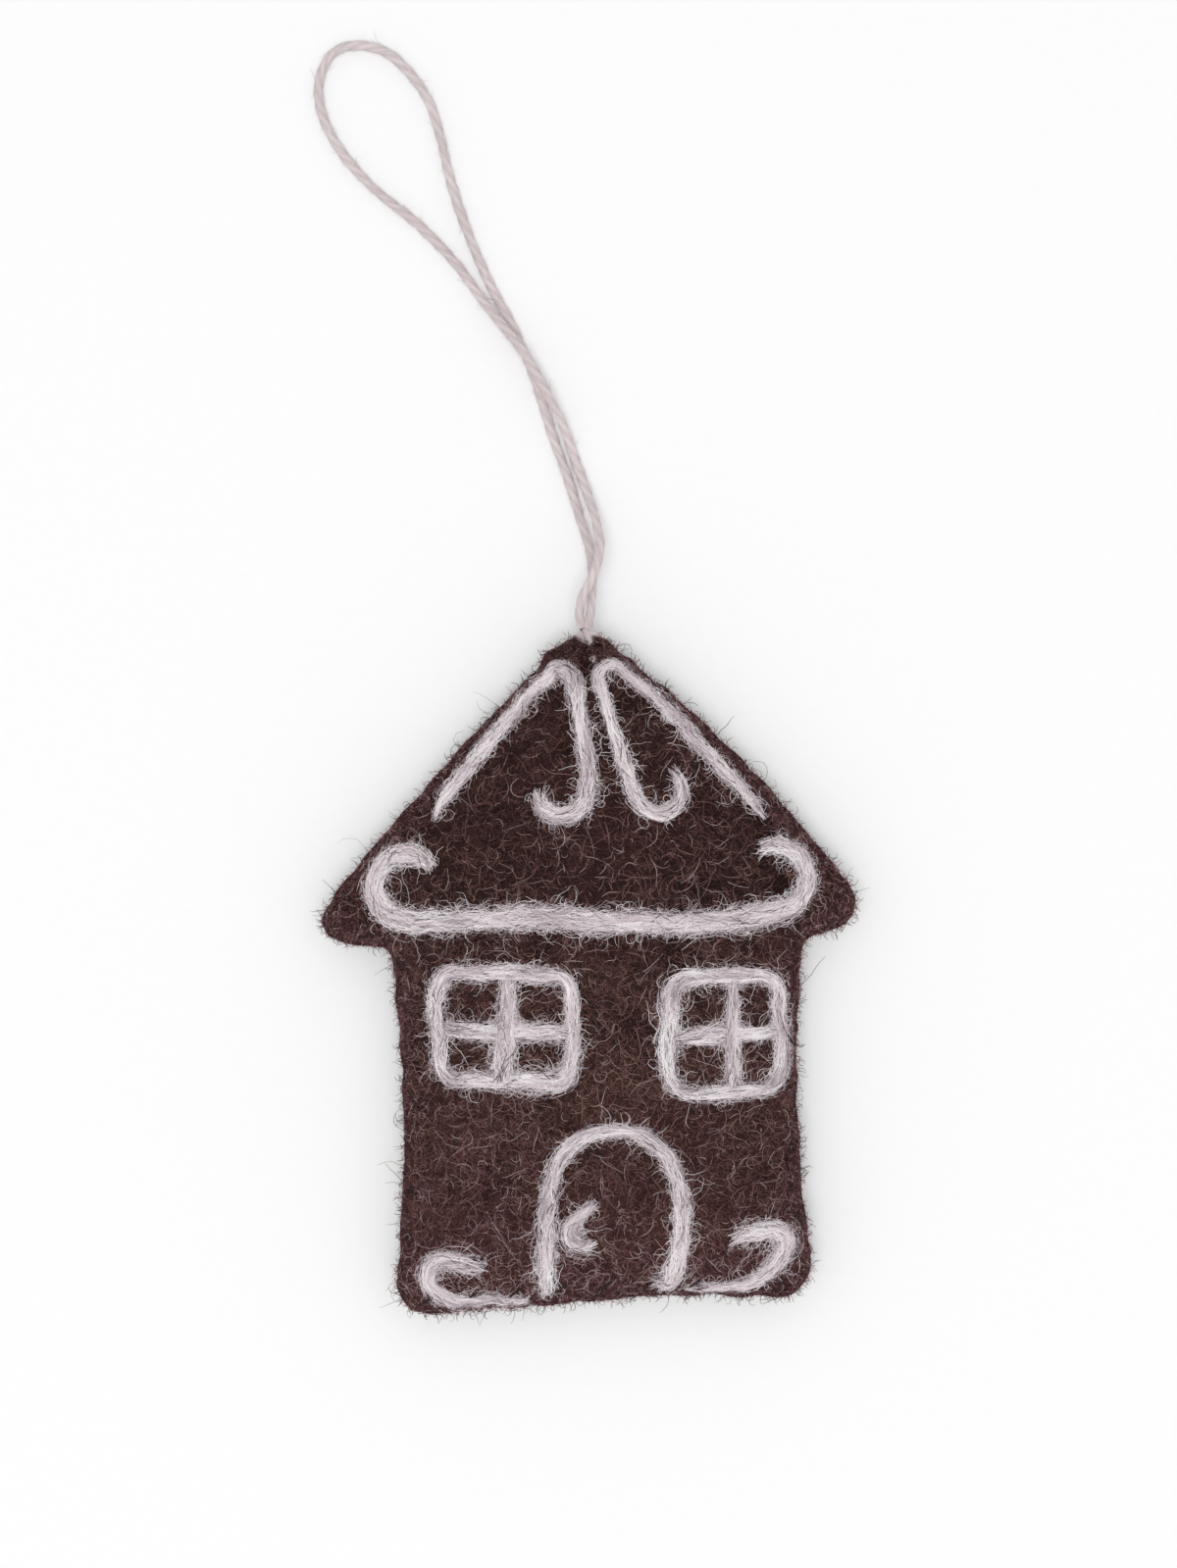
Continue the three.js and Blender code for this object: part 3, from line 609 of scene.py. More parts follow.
def worn_edge(line, pull, wobble, layer):
    """An edge as cut and sewn by hand: drawn in at each stitch, a little uneven between them."""
    stitches = on_edge(rim_line, stitch_along + 0.25 * stitch_step)
    away = np.linalg.norm(line[:, None, :] - stitches[None, :, :], axis=2).min(axis=1)
    uneven = wobble * noise(line, 3.2 * MM, layer) + 0.4 * wobble * noise(line, 1.1 * MM, layer + 1)
    worn = line + outwards(line) * (uneven - pull * bell(away / (1.1 * MM)))[:, None]
    sag = SAG * (1 + 0.9 * bell((line[:, 0] + 7 * MM) / (7 * MM)))
    worn[:, 1] -= sag * ramp(-line[:, 1], 38 * MM, 42 * MM)
    return worn


def front_inset(line):
    """How far the front's edge stays inside the back's: more along the roof's slopes and at its peak."""
    slope = ramp(line[:, 1], 5 * MM, 8 * MM)
    peak = bell((line[:, 0] + 1 * MM) / (7 * MM)) * ramp(line[:, 1], 30 * MM, 38 * MM)
    return slope * 0.3 * MM + peak * 0.25 * MM


def teased(line):
    """An edge that bulges where wool was teased out beside the peak."""
    bulge = np.zeros(len(line))
    for x, y, out in TEASED_PLACES:
        away = np.linalg.norm(line - np.array([x, y]) * MM, axis=1)
        bulge = bulge + out * MM * bell(away / (1.2 * MM))
    return line + outwards(line) * bulge[:, None]


back_line = softened(edge_line("back_panel", RIM_LOW + FELT / 2, EDGE_STEP), 3)
back_line = teased(worn_edge(back_line, 0.18 * MM, 0.24 * MM, 3))
front_line = worn_edge(rim_line - rim_out * front_inset(rim_line)[:, None], 0.32 * MM, 0.24 * MM, 5)
front_line = teased(front_line)


# Fields over the house's plan


FINE_STEP = 0.3 * MM
COARSE_STEP = 1 * MM


class Field:
    """Values on a grid over the plan."""

    def __init__(self, step):
        self.step = step
        self.shape = tuple(np.ceil((PLAN_HIGH - PLAN_LOW) / step).astype(int) + 1)
        self.values = np.zeros(self.shape)

    def places(self):
        columns = [PLAN_LOW[axis] + self.step * np.arange(self.shape[axis]) for axis in (0, 1)]
        return np.stack(np.meshgrid(*columns, indexing="ij"), axis=-1)

    def at(self, places):
        spots = (np.asarray(places)[..., :2] - PLAN_LOW) / self.step
        spots = np.clip(spots, 0, np.array(self.shape) - 1.001)
        cell = spots.astype(int)
        part = spots - cell
        column, row = cell[..., 0], cell[..., 1]
        across, up = part[..., 0], part[..., 1]
        near = between(self.values[column, row], self.values[column + 1, row], across)
        far = between(self.values[column, row + 1], self.values[column + 1, row + 1], across)
        return between(near, far, up)


def distance_to(places, line, block=20000):
    """Distances from places [n, 2] to the nearest place of a line."""
    found = np.empty(len(places))
    for start in range(0, len(places), block):
        apart = places[start:start + block, None, :] - line[None, :, :]
        found[start:start + block] = np.sqrt((apart ** 2).sum(axis=2).min(axis=1))
    return found


def inside(places, line):
    """Which places a closed line holds."""
    held = np.zeros(len(places), bool)
    for start, end in zip(line, np.roll(line, -1, axis=0)):
        spans = (start[1] > places[:, 1]) != (end[1] > places[:, 1])
        if not spans.any():
            continue
        crossing = (end[0] - start[0]) * (places[:, 1] - start[1]) / (end[1] - start[1] + 1e-15) + start[0]
        held ^= spans & (places[:, 0] < crossing)
    return held


def depth_field(line):
    """How far inside a closed line each place lies; negative outside."""
    field = Field(FINE_STEP)
    places = field.places().reshape(-1, 2)
    depth = distance_to(places, evenly(line, 0.25 * MM, closed=True))
    depth[~inside(places, line)] *= -1
    field.values = depth.reshape(field.shape)
    return field


front_depth = depth_field(front_line)
back_depth = depth_field(back_line)


def skin_field(tree, above, fill):
    """Heights of what a ray from above or from below meets first."""
    field = Field(COARSE_STEP)
    direction = Vector((0, 0, -1 if above else 1))
    for index in np.ndindex(field.shape):
        spot = PLAN_LOW + field.step * np.array(index)
        hit = tree.ray_cast(Vector((*spot, 0)) - direction * FAR, direction)[0]
        field.values[index] = hit.z if hit else fill
    return field


def blurred(field, times):
    """The field with its facets smoothed away."""
    values = field.values
    for _ in range(times):
        for axis in (0, 1):
            values = (np.roll(values, 1, axis) + 2 * values + np.roll(values, -1, axis)) / 4
    field.values = values
    return field


def filled(line, spacing, rims):
    """Places and triangles that fill a closed line: rings that follow it, then a honeycomb inside them."""
    rings = [line] + [line - outwards(line) * rim for rim in rims]
    comb = []
    for number, row in enumerate(np.arange(COMB_LOW[1], COMB_HIGH[1], spacing * math.sqrt(0.75))):
        columns = np.arange(COMB_LOW[0], COMB_HIGH[0], spacing) + (number % 2) * spacing / 2
        comb.append(np.stack([columns, np.full(len(columns), row)], axis=1))
    comb = np.concatenate(comb)
    comb = comb[inside(comb, line)]
    comb = comb[distance_to(comb, line) > (rims[-1] if rims else 0) + 0.6 * spacing]
    places = np.concatenate(rings + [comb]) / MM
    count = len(line)
    borders = [(index, (index + 1) % count) for index in range(count)]
    points, _, triangles, *_ = delaunay_2d_cdt([Vector(place) for place in places], borders, [], 1, 1e-6)
    points = np.array([tuple(point) for point in points]) * MM
    return points, np.array([tuple(face) for face in triangles]), count


def sewn(places, triangles, border, upper, lower):
    """Two skins over one plan, joined along its border: their places and faces."""
    share = np.arange(len(places))
    share[border:] += len(places) - border
    points = np.concatenate([lifted(places, upper), lifted(places, lower)[border:]])
    return points, np.concatenate([triangles, share[triangles][:, ::-1]])


# The swelling of the filled bag


CLOTH_SCALE = 10
CLOTH_FRAMES = 20
CLOTH_REACH = 5 * MM
CLOTH_START = 0.7
CLOTH_SETTINGS = dict(
    quality=6, mass=0.4, tension_stiffness=30, compression_stiffness=30, shear_stiffness=12,
    bending_stiffness=6, use_pressure=True, uniform_pressure_force=4, vertex_group_mass="held")


def swollen(front_start, back_start):
    """The skins of both panels, sewn edge to edge and blown up as cloth until the bag is full."""
    line = evenly(rim_line - rim_out * (1.2 * MM), 1.4 * MM, closed=True)
    places, triangles, border = filled(line, 1.5 * MM, [])
    upper = front_start.at(places)
    upper[:border] = SEAM_HEIGHT
    points, faces = sewn(places, triangles, border, upper, back_start.at(places))
    bag = mesh_object("bag", points * CLOTH_SCALE, faces, [])
    held = bag.vertex_groups.new(name="held")
    held.add(list(range(border)), 1.0, "REPLACE")
    cloth = bag.modifiers.new("cloth", "CLOTH")
    for setting, value in CLOTH_SETTINGS.items():
        setattr(cloth.settings, setting, value)
    cloth.settings.effector_weights.gravity = 0
    cloth.point_cache.frame_start = 1
    cloth.point_cache.frame_end = CLOTH_FRAMES
    for step in range(1, CLOTH_FRAMES + 1):
        bpy.context.scene.frame_set(step)
    evaluated = bag.evaluated_get(bpy.context.evaluated_depsgraph_get()).to_mesh()
    swelled = np.empty(3 * len(evaluated.vertices))
    evaluated.vertices.foreach_get("co", swelled)
    moved = swelled.reshape(-1, 3) / CLOTH_SCALE - points
    bpy.context.scene.frame_set(1)
    bpy.data.objects.remove(bag)
    far = np.maximum(np.linalg.norm(moved, axis=1, keepdims=True) / CLOTH_REACH, 1)
    tree = BVHTree.FromPolygons([Vector(point) for point in points + moved / far], faces.tolist())
    return skin_field(tree, True, SEAM_HEIGHT), skin_field(tree, False, SEAM_HEIGHT)


CROWN = FRONT_HIGH.z - RIM_TOP
SINK = RIM_LOW + 0.5 * MM


def dome_shares():
    """How full the filling is at each place, for the front and the back: 0 at the seam and 1 at the crown."""
    front = blurred(skin_field(tree_of("front_panel"), True, RIM_TOP), 3)
    back = blurred(skin_field(tree_of("back_panel"), False, RIM_LOW), 3)
    front.values = np.clip((front.values - RIM_TOP) / CROWN, 0, 1)
    back.values = np.clip((RIM_LOW - back.values) / RIM_LOW, 0, 1)
    front_start, back_start = Field(COARSE_STEP), Field(COARSE_STEP)
    front_start.values = SEAM_HEIGHT + CLOTH_START * CROWN * front.values
    back_start.values = SEAM_HEIGHT - CLOTH_START * SINK * back.values
    upper, lower = swollen(front_start, back_start)
    rise, fall = upper.values - SEAM_HEIGHT, SEAM_HEIGHT - lower.values
    front.values = 0.5 * front.values + 0.5 * np.clip(rise / rise.max(), 0, 1)
    back.values = 0.5 * back.values + 0.5 * np.clip(fall / fall.max(), 0, 1)
    return blurred(front, 1), blurred(back, 1)


front_dome, back_dome = dome_shares()


# The icing's routes


class Ground:
    """A part of the house that strokes are drawn on, in shares of its half width and of its height."""

    def __init__(self, span, height, slim):
        self.span, self.height, self.slim = span, height, slim

    def place(self, side, up):
        return np.array([SHIFT.x + side * self.span / 2, SHIFT.y + EAVE_LINE + up * self.height])


GABLE = Ground(EAVE_SPAN, GABLE_HEIGHT, 1.147)
WALL = Ground(WALL_SPAN, WALL_HEIGHT, 1.778)


def stroke(on, start, angle, length, runs, width, **shares):
    """A route drawn like a pen stroke: each run is a share of the length and the degrees it turns through."""
    side, up = start
    direction = math.radians(angle)
    points = [on.place(side, up)]
    for share, degrees in runs:
        steps = max(6, math.ceil(share * length * on.height / (0.8 * MM)))
        for _ in range(steps):
            direction += math.radians(degrees) / steps / 2
            side += math.cos(direction) * length * share / steps * on.slim
            up += math.sin(direction) * length * share / steps
            direction += math.radians(degrees) / steps / 2
            points.append(on.place(side, up))
    return dict(line=evenly(np.array(points), ROVING_STEP), width=width * MM, closed=False, **shares)


ROVING_STEP = 0.35 * MM

# width in millimetres; ends: the shares of it that stay at both ends; swells: its shares along the way
STROKES = {
    "roof_scroll_left": dict(
        on=GABLE, start=(-0.545, 0.39), angle=77, length=1.24,
        runs=[(0.08, -27), (0.36, 0), (0.1, -127), (0.26, -10), (0.04, -36), (0.16, -140)],
        width=2.2, ends=(0.3, 0.7), swells=(0.75, 0.95, 0.95, 1.0, 1.05, 0.9, 0.95, 1.0, 0.95)),
    "roof_scroll_right": dict(
        on=GABLE, start=(0.611, 0.393), angle=124, length=1.36,
        runs=[(0.1, 10), (0.25, -6), (0.125, 34), (0.065, 122), (0.245, 6), (0.045, 16), (0.17, 195)],
        width=1.9, ends=(0.4, 0.6), swells=(0.85, 0.95, 0.95, 1.05, 0.75, 0.8, 1.0, 1.0, 0.9)),
    "eave_band": dict(
        on=GABLE, start=(-0.55, 0.242), angle=128, length=1.92,
        runs=[(0.205, 218), (0.07, 22), (0.17, -12), (0.21, 5), (0.16, 7), (0.185, 195)],
        width=3.1, ends=(0.55, 0.55), swells=(0.9, 0.95, 1.0, 0.95, 1.0, 1.0, 0.95, 0.95, 0.85)),
    "door_arch": dict(
        on=WALL, start=(-0.204, -0.969), angle=96, length=1.15,
        runs=[(0.278, -16), (0.409, -154), (0.313, -46)],
        width=2.5, ends=(1.1, 0.95), swells=(1.05, 0.95, 0.9, 0.75, 0.7, 0.75, 0.85, 0.9, 1.0)),
    "door_handle": dict(
        on=WALL, start=(0.018, -0.71), angle=-146, length=0.168, runs=[(0.5, 30), (0.5, 150)],
        width=1.9, ends=(0.8, 1.0), swells=(0.75, 0.95, 1.15, 1.3, 1.4)),
    "base_scroll_left": dict(
        on=WALL, start=(-0.519, -0.896), angle=160, length=0.5,
        runs=[(0.21, 14), (0.21, 132), (0.24, 50), (0.34, 10)],
        width=2.2, ends=(0.85, 0.8), swells=(1.2, 1.05, 0.95, 0.9, 0.85, 0.8, 0.75)),
    "base_scroll_right": dict(
        on=WALL, start=(0.48, -0.953), angle=0, length=0.5,
        runs=[(0.28, 8), (0.33, 56), (0.2, 128), (0.19, 6)],
        width=2.2, ends=(0.6, 0.6), swells=(0.6, 0.65, 0.75, 1.0, 1.35, 1.45, 1.35)),
}
FRAME_WIDTH = 2.1
BAR_WIDTH = 2.2

# astray: how far a frame lies outside its even shape, round from its upper left corner, in millimetres
WINDOWS = {
    "left": dict(
        middle=(-0.41, -0.235), across=0.33, up=0.31, tilt=-1.5, shift=0, upright=2.8, lean=-5, radius=2.3,
        astray=(0.1, 0.3, -0.9, -0.8, -1.3, 0.2, -0.1, 0.2, 0.1),
        swells=dict(
            frame=(1.1, 1.2, 0.9, 1.05, 1.45, 0.95, 0.9, 1.2, 1.1),
            bar_across=(1.0, 1.1, 1.1, 1.2, 1.05), bar_upright=(1.2, 1.2, 1.15, 0.95, 0.9))),
    "right": dict(
        middle=(0.67, -0.245), across=0.2815, up=0.325, tilt=1.5, shift=0.7, upright=2.1, lean=1, radius=3,
        astray=(-0.3, 0.1, 0.2, 0, -0.4, -0.1, -0.3, 0, -0.3),
        swells=dict(
            frame=(1.1, 1.3, 1.0, 0.85, 0.9, 1.0, 0.95, 1.0, 1.1),
            bar_across=(1.15, 1.15, 1.0, 0.75, 0.7), bar_upright=(1.05, 1.05, 1.0, 0.9, 0.75))),
}


def turned(points, centre, degrees):
    angle = math.radians(degrees)
    spin = np.array([[math.cos(angle), -math.sin(angle)], [math.sin(angle), math.cos(angle)]])
    return (np.asarray(points) - centre) @ spin.T + centre


def window_routes(middle, across, up, tilt, shift, upright, lean, radius, astray, swells):
    """A window's frame, its bar across and its upright bar, each a route."""
    centre = WALL.place(*middle)
    half = np.array([across * WALL_SPAN / 2, up * WALL_HEIGHT / 2])
    corners = []
    for side, rise, begin in ((-1, 1, 90), (-1, -1, 180), (1, -1, 270), (1, 1, 0)):
        pivot = centre + np.array([side, rise]) * (half - radius * MM)
        for angle in np.radians(np.linspace(begin, begin + 90, 5)):
            corners.append(pivot + radius * MM * np.array([math.cos(angle), math.sin(angle)]))
    outline = evenly(turned(corners, centre, tilt), ROVING_STEP, closed=True)
    out = np.interp(np.linspace(0, 1, len(outline)), np.linspace(0, 1, len(astray)), astray) * MM
    outline = outline + unit(outline - centre) * out[:, None]
    reach = half - FRAME_WIDTH * MM / 3
    level = turned([centre - [reach[0], 0], centre + [reach[0], 0]], centre, tilt)
    crossing = centre + [shift * MM, 0]
    plumb = turned([crossing - [0, reach[1]], crossing + [0, reach[1]]], crossing, lean)
    return {
        part: dict(
            line=line, width=width * MM, closed=part == "frame", ends=(0.85, 0.85), swells=swells[part])
        for part, line, width in (
            ("frame", outline, FRAME_WIDTH), ("bar_across", evenly(level, ROVING_STEP), BAR_WIDTH),
            ("bar_upright", evenly(plumb, ROVING_STEP), upright))}


def all_routes():
    """Every roving: its route in plan, its width, whether it is closed, its ends and its swells."""
    routes = {name: stroke(**pen) for name, pen in STROKES.items()}
    for side, window in WINDOWS.items():
        for part, route in window_routes(**window).items():
            routes[f"window_{side}_{part}"] = route
    return routes


routes = all_routes()


# How much of its width a stroke along the hem keeps on the felt, against the other strokes
HOLDS = {"base_scroll_left": 0.4, "base_scroll_right": 0.5}
FADE_REACH = 3.2 * MM


def held_on(line, width, hold):
    """A stroke's line, pushed in from the felt's edge until the wool has felt under it."""
    need = 0.36 * width * hold + 0.1 * MM
    probe = 0.3 * MM
    for _ in range(2):
        inward = np.stack([front_depth.at(line + step) - front_depth.at(line - step)
                           for step in ([probe, 0], [0, probe])], axis=1)
        line = line + unit(inward) * np.clip(need - front_depth.at(line), 0, 1 * MM)[:, None]
    return line


def wavering(route, layer, hold):
    """A route as a hand lays it: it strays a little from its line, and thins and thickens."""
    line = held_on(route["line"], route["width"], hold)
    share = np.linspace(0, 1, len(line))
    fade = np.ones(len(line))
    if route["closed"]:
        ahead = unit(np.roll(line, -2, axis=0) - np.roll(line, 2, axis=0))
    else:
        ahead = unit(np.gradient(line, axis=0))
        for end, there in zip(route["ends"], (share, 1 - share)):
            near = np.clip(there * line_length(line) / FADE_REACH, 0, 1)
            fade = np.minimum(fade, end + (1 - end) * near * near * (3 - 2 * near))
    across = -right_of(ahead)
    stray = 0.25 * MM * noise(line, 4.5 * MM, layer) + 0.12 * MM * noise(line, 1.7 * MM, layer)
    swell = 1 + 0.18 * noise(line, 2.8 * MM, layer + 1) + 0.1 * noise(line, 1.1 * MM, layer + 2)
    drawn = np.interp(share, np.linspace(0, 1, len(route["swells"])), route["swells"])
    route["line"] = line + across * stray[:, None]
    route["line"][:, 1] += 0.45 * MM * ramp(line[:, 1], 32 * MM, 40 * MM)
    route["across"] = across
    route["widths"] = route["width"] * fade * swell * drawn


for number, (name, route) in enumerate(routes.items()):
    wavering(route, 20 + 3 * number, HOLDS.get(name, 1))


def trace_field(traces, reach):
    """1 along traces, falling to 0 beside them."""
    field = Field(FINE_STEP)
    places = field.places().reshape(-1, 2)
    field.values = bell(distance_to(places, traces) / reach).reshape(field.shape)
    return field


def stitch_bites():
    """Places along each stitch, from its hole to the felt's edge."""
    holes = on_edge(rim_line - rim_out * STITCH_INSET, stitch_along)
    edges = on_edge(rim_line, stitch_along - 0.3 * stitch_step)
    return np.concatenate([between(holes, edges, share) for share in (0, 0.25, 0.5, 0.75, 1)])


# How far the needle has pressed the felt in along the icing, and how far each stitch pulls it in
pressed = trace_field(np.concatenate([route["line"][::2] for route in routes.values()]), 1.6 * MM)
puckered = trace_field(stitch_bites(), 0.75 * MM)


def rounded(depth, radius):
    """How far a rounded edge has fallen away at a depth inside it."""
    near = np.clip(radius - depth, 0, radius)
    return radius - np.sqrt(np.maximum(radius ** 2 - near ** 2, 0))


def front_height(places):
    """The front's felt, over a place of the plan."""
    plan = np.asarray(places)[..., :2]
    lumps = 0.28 * MM * noise(plan, 8 * MM, 40) + 0.14 * MM * noise(plan, 2.6 * MM, 41)
    nap = 0.12 * MM * noise(plan, 1 * MM, 42)
    dome = front_dome.at(plan)
    height = RIM_TOP + CROWN * dome + (0.3 + 0.7 * np.clip(3 * dome, 0, 1)) * lumps + nap
    height = height - 0.35 * MM * pressed.at(plan) - 0.75 * MM * puckered.at(plan)
    return height - rounded(front_depth.at(plan), 1.1 * MM)


def back_height(places):
    """The back's felt, under a place of the plan: flat where it rests on the floor."""
    plan = np.asarray(places)[..., :2]
    lumps = 0.25 * MM * noise(plan, 7 * MM, 50) + 0.1 * MM * noise(plan, 2.4 * MM, 51)
    height = RIM_LOW - SINK * back_dome.at(plan) + lumps + 0.5 * MM * puckered.at(plan)
    height = height + rounded(back_depth.at(plan), 1.1 * MM)
    nap = 0.03 * MM * (1 + noise(plan, 0.9 * MM, 52))
    return np.maximum(height, 0.02 * MM + nap)


# The felt panels


def panel(name, line, skin, depth, material, up):
    """A felt panel: its outer skin, its cut edge down to the seam, and its inner side."""
    places, triangles, border = filled(line, 0.5 * MM, [0.25 * MM, 0.6 * MM, 1.05 * MM])
    outer = lifted(places, skin(places))
    top = outer[:border, 2]
    side = 1 if up else -1
    seam = SEAM_HEIGHT + side * 0.08 * MM
    rings = []
    for share in (0.3, 0.6, 0.85, 1.0):
        swell = 0.22 * MM * math.sin(math.pi * share) + 0.1 * MM * noise(line, 0.9 * MM, 60 + share * 10)
        rings.append(lifted(line + outwards(line) * swell[:, None], top + (seam - top) * share))
    centre = np.array(EDGE_CENTRE)
    for share in (0.06, 0.15, 0.4, 0.7, 0.97):
        spot = line + (centre - line) * share
        level = skin(spot) - side * FELT
        rings.append(lifted(spot, np.maximum(level, seam) if up else np.minimum(level, seam)))
    start = len(outer)
    walls = start + border * np.arange(len(rings))[:, None] + np.arange(border)
    chain = np.concatenate([np.arange(border)[None, :], walls])
    upper, lower = chain[:-1], chain[1:]
    upper_next, lower_next = np.roll(upper, -1, axis=1), np.roll(lower, -1, axis=1)
    middle = np.full(border, start + walls.size)
    seams = [np.stack(corners, axis=-1).reshape(-1, 3) for corners in (
        (upper, lower, lower_next), (upper, lower_next, upper_next),
        (lower[-1], middle, lower_next[-1]))]
    points = np.concatenate([outer, *rings, [[*centre, rings[-1][:, 2].mean()]]])
    faces = np.concatenate([triangles, *seams])
    if not up:
        faces = faces[:, ::-1]
    edge = np.full(len(points), 0.9)
    edge[:start] *= np.clip(1 - depth.at(places) / (1.2 * MM), 0, 1)
    edge = np.maximum(edge, 0.75 * ramp(-points[:, 1], 20 * MM, 40 * MM))
    return mesh_object(name, points, faces, [material], attributes={"edge": edge})


def add_panels():
    front = panel("felt_front", front_line, front_height, front_depth, FELT_FRONT, True)
    piece(front, "front_panel")
    back = panel("felt_back", back_line, back_height, back_depth, FELT_BACK, False)
    piece(back, "back_panel")


add_panels()


def add_filling():
    """The loose fibre that fills the bag, lumpy and clear of the felt."""
    line = evenly(rim_line - rim_out * (3.2 * MM), 1.2 * MM, closed=True)
    places, triangles, border = filled(line, 1.4 * MM, [])
    gap = 0.25 * MM
    lumps = 0.25 * MM * (1 + noise(places, 3 * MM, 70))
    upper = front_height(places) - FELT - gap - lumps
    lower = back_height(places) + FELT + gap + lumps
    seam = (upper + lower) / 2
    upper = np.maximum(upper, seam + gap / 4)
    lower = np.minimum(lower, seam - gap / 4)
    upper[:border] = lower[:border] = seam[:border]
    points, faces = sewn(places, triangles, border, upper, lower)
    piece(mesh_object("filling", points, faces, [FILLING], coordinates=points[:, :2]), "stuffing")


add_filling()


# Single fibres


FIBRE_ANGLES = (0.5, 2.6, 4.7)


def strands(name, paths, radii, materials, shades, body="house"):
    """Fibres as thin three-sided tubes: paths [fibre, place, 3], a radius and a shade for each."""
    count, steps, _ = paths.shape
    tangent = unit(np.gradient(paths, axis=1))
    side = unit(np.cross(tangent, [0.13, 0.07, 0.99]))
    rise = np.cross(side, tangent)
    taper = 0.35 + 0.65 * np.sin(np.linspace(0.12, 1, steps) * math.pi * 0.94)
    radius = radii[:, None, None] * taper[None, :, None]
    points = np.stack([
        paths + radius * (math.cos(angle) * side + math.sin(angle) * rise) for angle in FIBRE_ANGLES], axis=2)
    near = (np.arange(count)[:, None, None] * steps + np.arange(steps - 1)[None, :, None]) * 3
    corner = np.arange(3)
    beside = (corner + 1) % 3
    faces = np.stack([near + corner, near + beside, near + 3 + beside, near + 3 + corner], axis=-1)
    slots = np.repeat(shades, (steps - 1) * 3)
    return piece(mesh_object(name, points, faces.reshape(-1, 4), materials, slots=slots), body=body)


def wandering(starts, headings, lengths, steps, curl, rng):
    """Lines in plan that wander from their starts, each with a bend of its own: [fibre, place, 2]."""
    count = len(starts)
    bend = rng.normal(0, curl, (count, 1)) + rng.normal(0, 0.6 * curl, (count, steps - 1))
    angle = headings[:, None] + np.cumsum(bend, axis=1)
    moves = np.stack([np.cos(angle), np.sin(angle)], axis=-1) * (lengths / (steps - 1))[:, None, None]
    return np.concatenate([starts[:, None, :], starts[:, None, :] + np.cumsum(moves, axis=1)], axis=1)


def random_lengths(rng, count, shape, scale, low, high):
    """Lengths of fibres, most of them short; scale, low and high are in millimetres."""
    return np.clip(rng.gamma(shape, scale * MM, count), low * MM, high * MM)


def lying(plan, clear, lift, rng):
    """Lines in plan laid on the front's felt, arching up from it a little."""
    count, steps, _ = plan.shape
    arch = np.sin(np.linspace(0, math.pi, steps)) * rng.gamma(1.2, lift, (count, 1))
    tilt = np.linspace(0, 1, steps) * rng.gamma(0.6, 0.7 * lift, (count, 1))
    return lifted(plan, front_height(plan) + clear + arch + tilt)


def sloping(plan, low, high, slope, lengths, rng):
    """Lines in plan between two heights, each with a slope of its own about a mean and its spread."""
    count, steps, _ = plan.shape
    level = rng.uniform(low, high, (count, 1))
    rise = rng.normal(*slope, (count, 1)) * np.linspace(0, 1, steps) * lengths[:, None]
    return lifted(plan, np.maximum(level + rise, LOWEST_FIBRE))


def scattered(line, count, rng):
    """Random places inside a closed line."""
    found = np.empty((0, 2))
    while len(found) < count:
        tries = rng.uniform(line.min(axis=0), line.max(axis=0), (count, 2))
        found = np.concatenate([found, tries[inside(tries, line)]])
    return found[:count]


FUZZ_RADIUS = 0.041 * MM
LOWEST_FIBRE = 0.05 * MM
ON_ICING = 0.62
STAY_OUTSIDE = 0.02
STAY_ON_ICING = 0.1


def kept(paths, beyond, rng, bare=True):
    """The fibres that stay over the front and off its icing, and a few of the others."""
    stay = front_depth.at(paths).min(axis=1) >= -beyond
    stay = stay | (rng.random(len(paths)) < STAY_OUTSIDE)
    if bare:
        over = pressed.at(paths[:, paths.shape[1] // 2]) > ON_ICING
        stay &= ~over | (rng.random(len(paths)) < STAY_ON_ICING)
    return paths[stay]


def places_on(line, count, rng):
    """Random places of a closed line, and the directions out of it there."""
    index = rng.integers(0, len(line), count)
    return line[index], outwards(line)[index]


def tousled(rng, starts, size, steps, curl, clear, lift, beyond):
    """Fibres that lie curled every way on the front; measures are in millimetres."""
    lengths = random_lengths(rng, len(starts), *size)
    plan = wandering(starts, rng.uniform(0, 2 * math.pi, len(starts)), lengths, steps, curl, rng)
    return kept(lying(plan, clear * MM, lift * MM, rng), beyond * MM, rng)


def mixed(rng, count, *shares):
    """A shade for each fibre, from the shares of the shades."""
    return rng.choice(len(shares), count, p=shares)


def add_felt_fuzz():
    """The curling fibres that stand out of the front's felt."""
    for part in range(3):
        rng = np.random.default_rng(100 + part)
        paths = tousled(rng, scattered(front_line, 5400, rng), (2.6, 0.78, 0.5, 7), 7, 0.3, 0.02, 0.05, 0.4)
        count = len(paths)
        radii = FUZZ_RADIUS * rng.uniform(0.5, 1.35, count)
        start = paths[:, 0, :2]
        # Painted shade: fibres that start up in the gable draw from darker shades.
        dark = start[:, 1] > rng.uniform(2 * MM, 9 * MM, count)
        red = 0.15 + 0.6 * ramp(-start[:, 1], 20 * MM, 38 * MM) + 0.25 * noise(start, 9 * MM, 45)
        darker = mixed(rng, count, 0.34, 0.32, 0.2, 0.1, 0.04)
        lighter = mixed(rng, count, 0.2, 0.28, 0.28, 0.18, 0.06)
        shades = np.where(dark, darker, lighter)
        light = rng.random(count) < 0.6 * ramp(-start[:, 1], 28 * MM, 38 * MM)
        shades = np.minimum(shades + light, 4) + len(BROWN_FIBRES) * (rng.random(count) < red)
        strands(f"front_fuzz_{part}", paths, radii, BROWN_FIBRES + MAROON_FIBRES, shades)


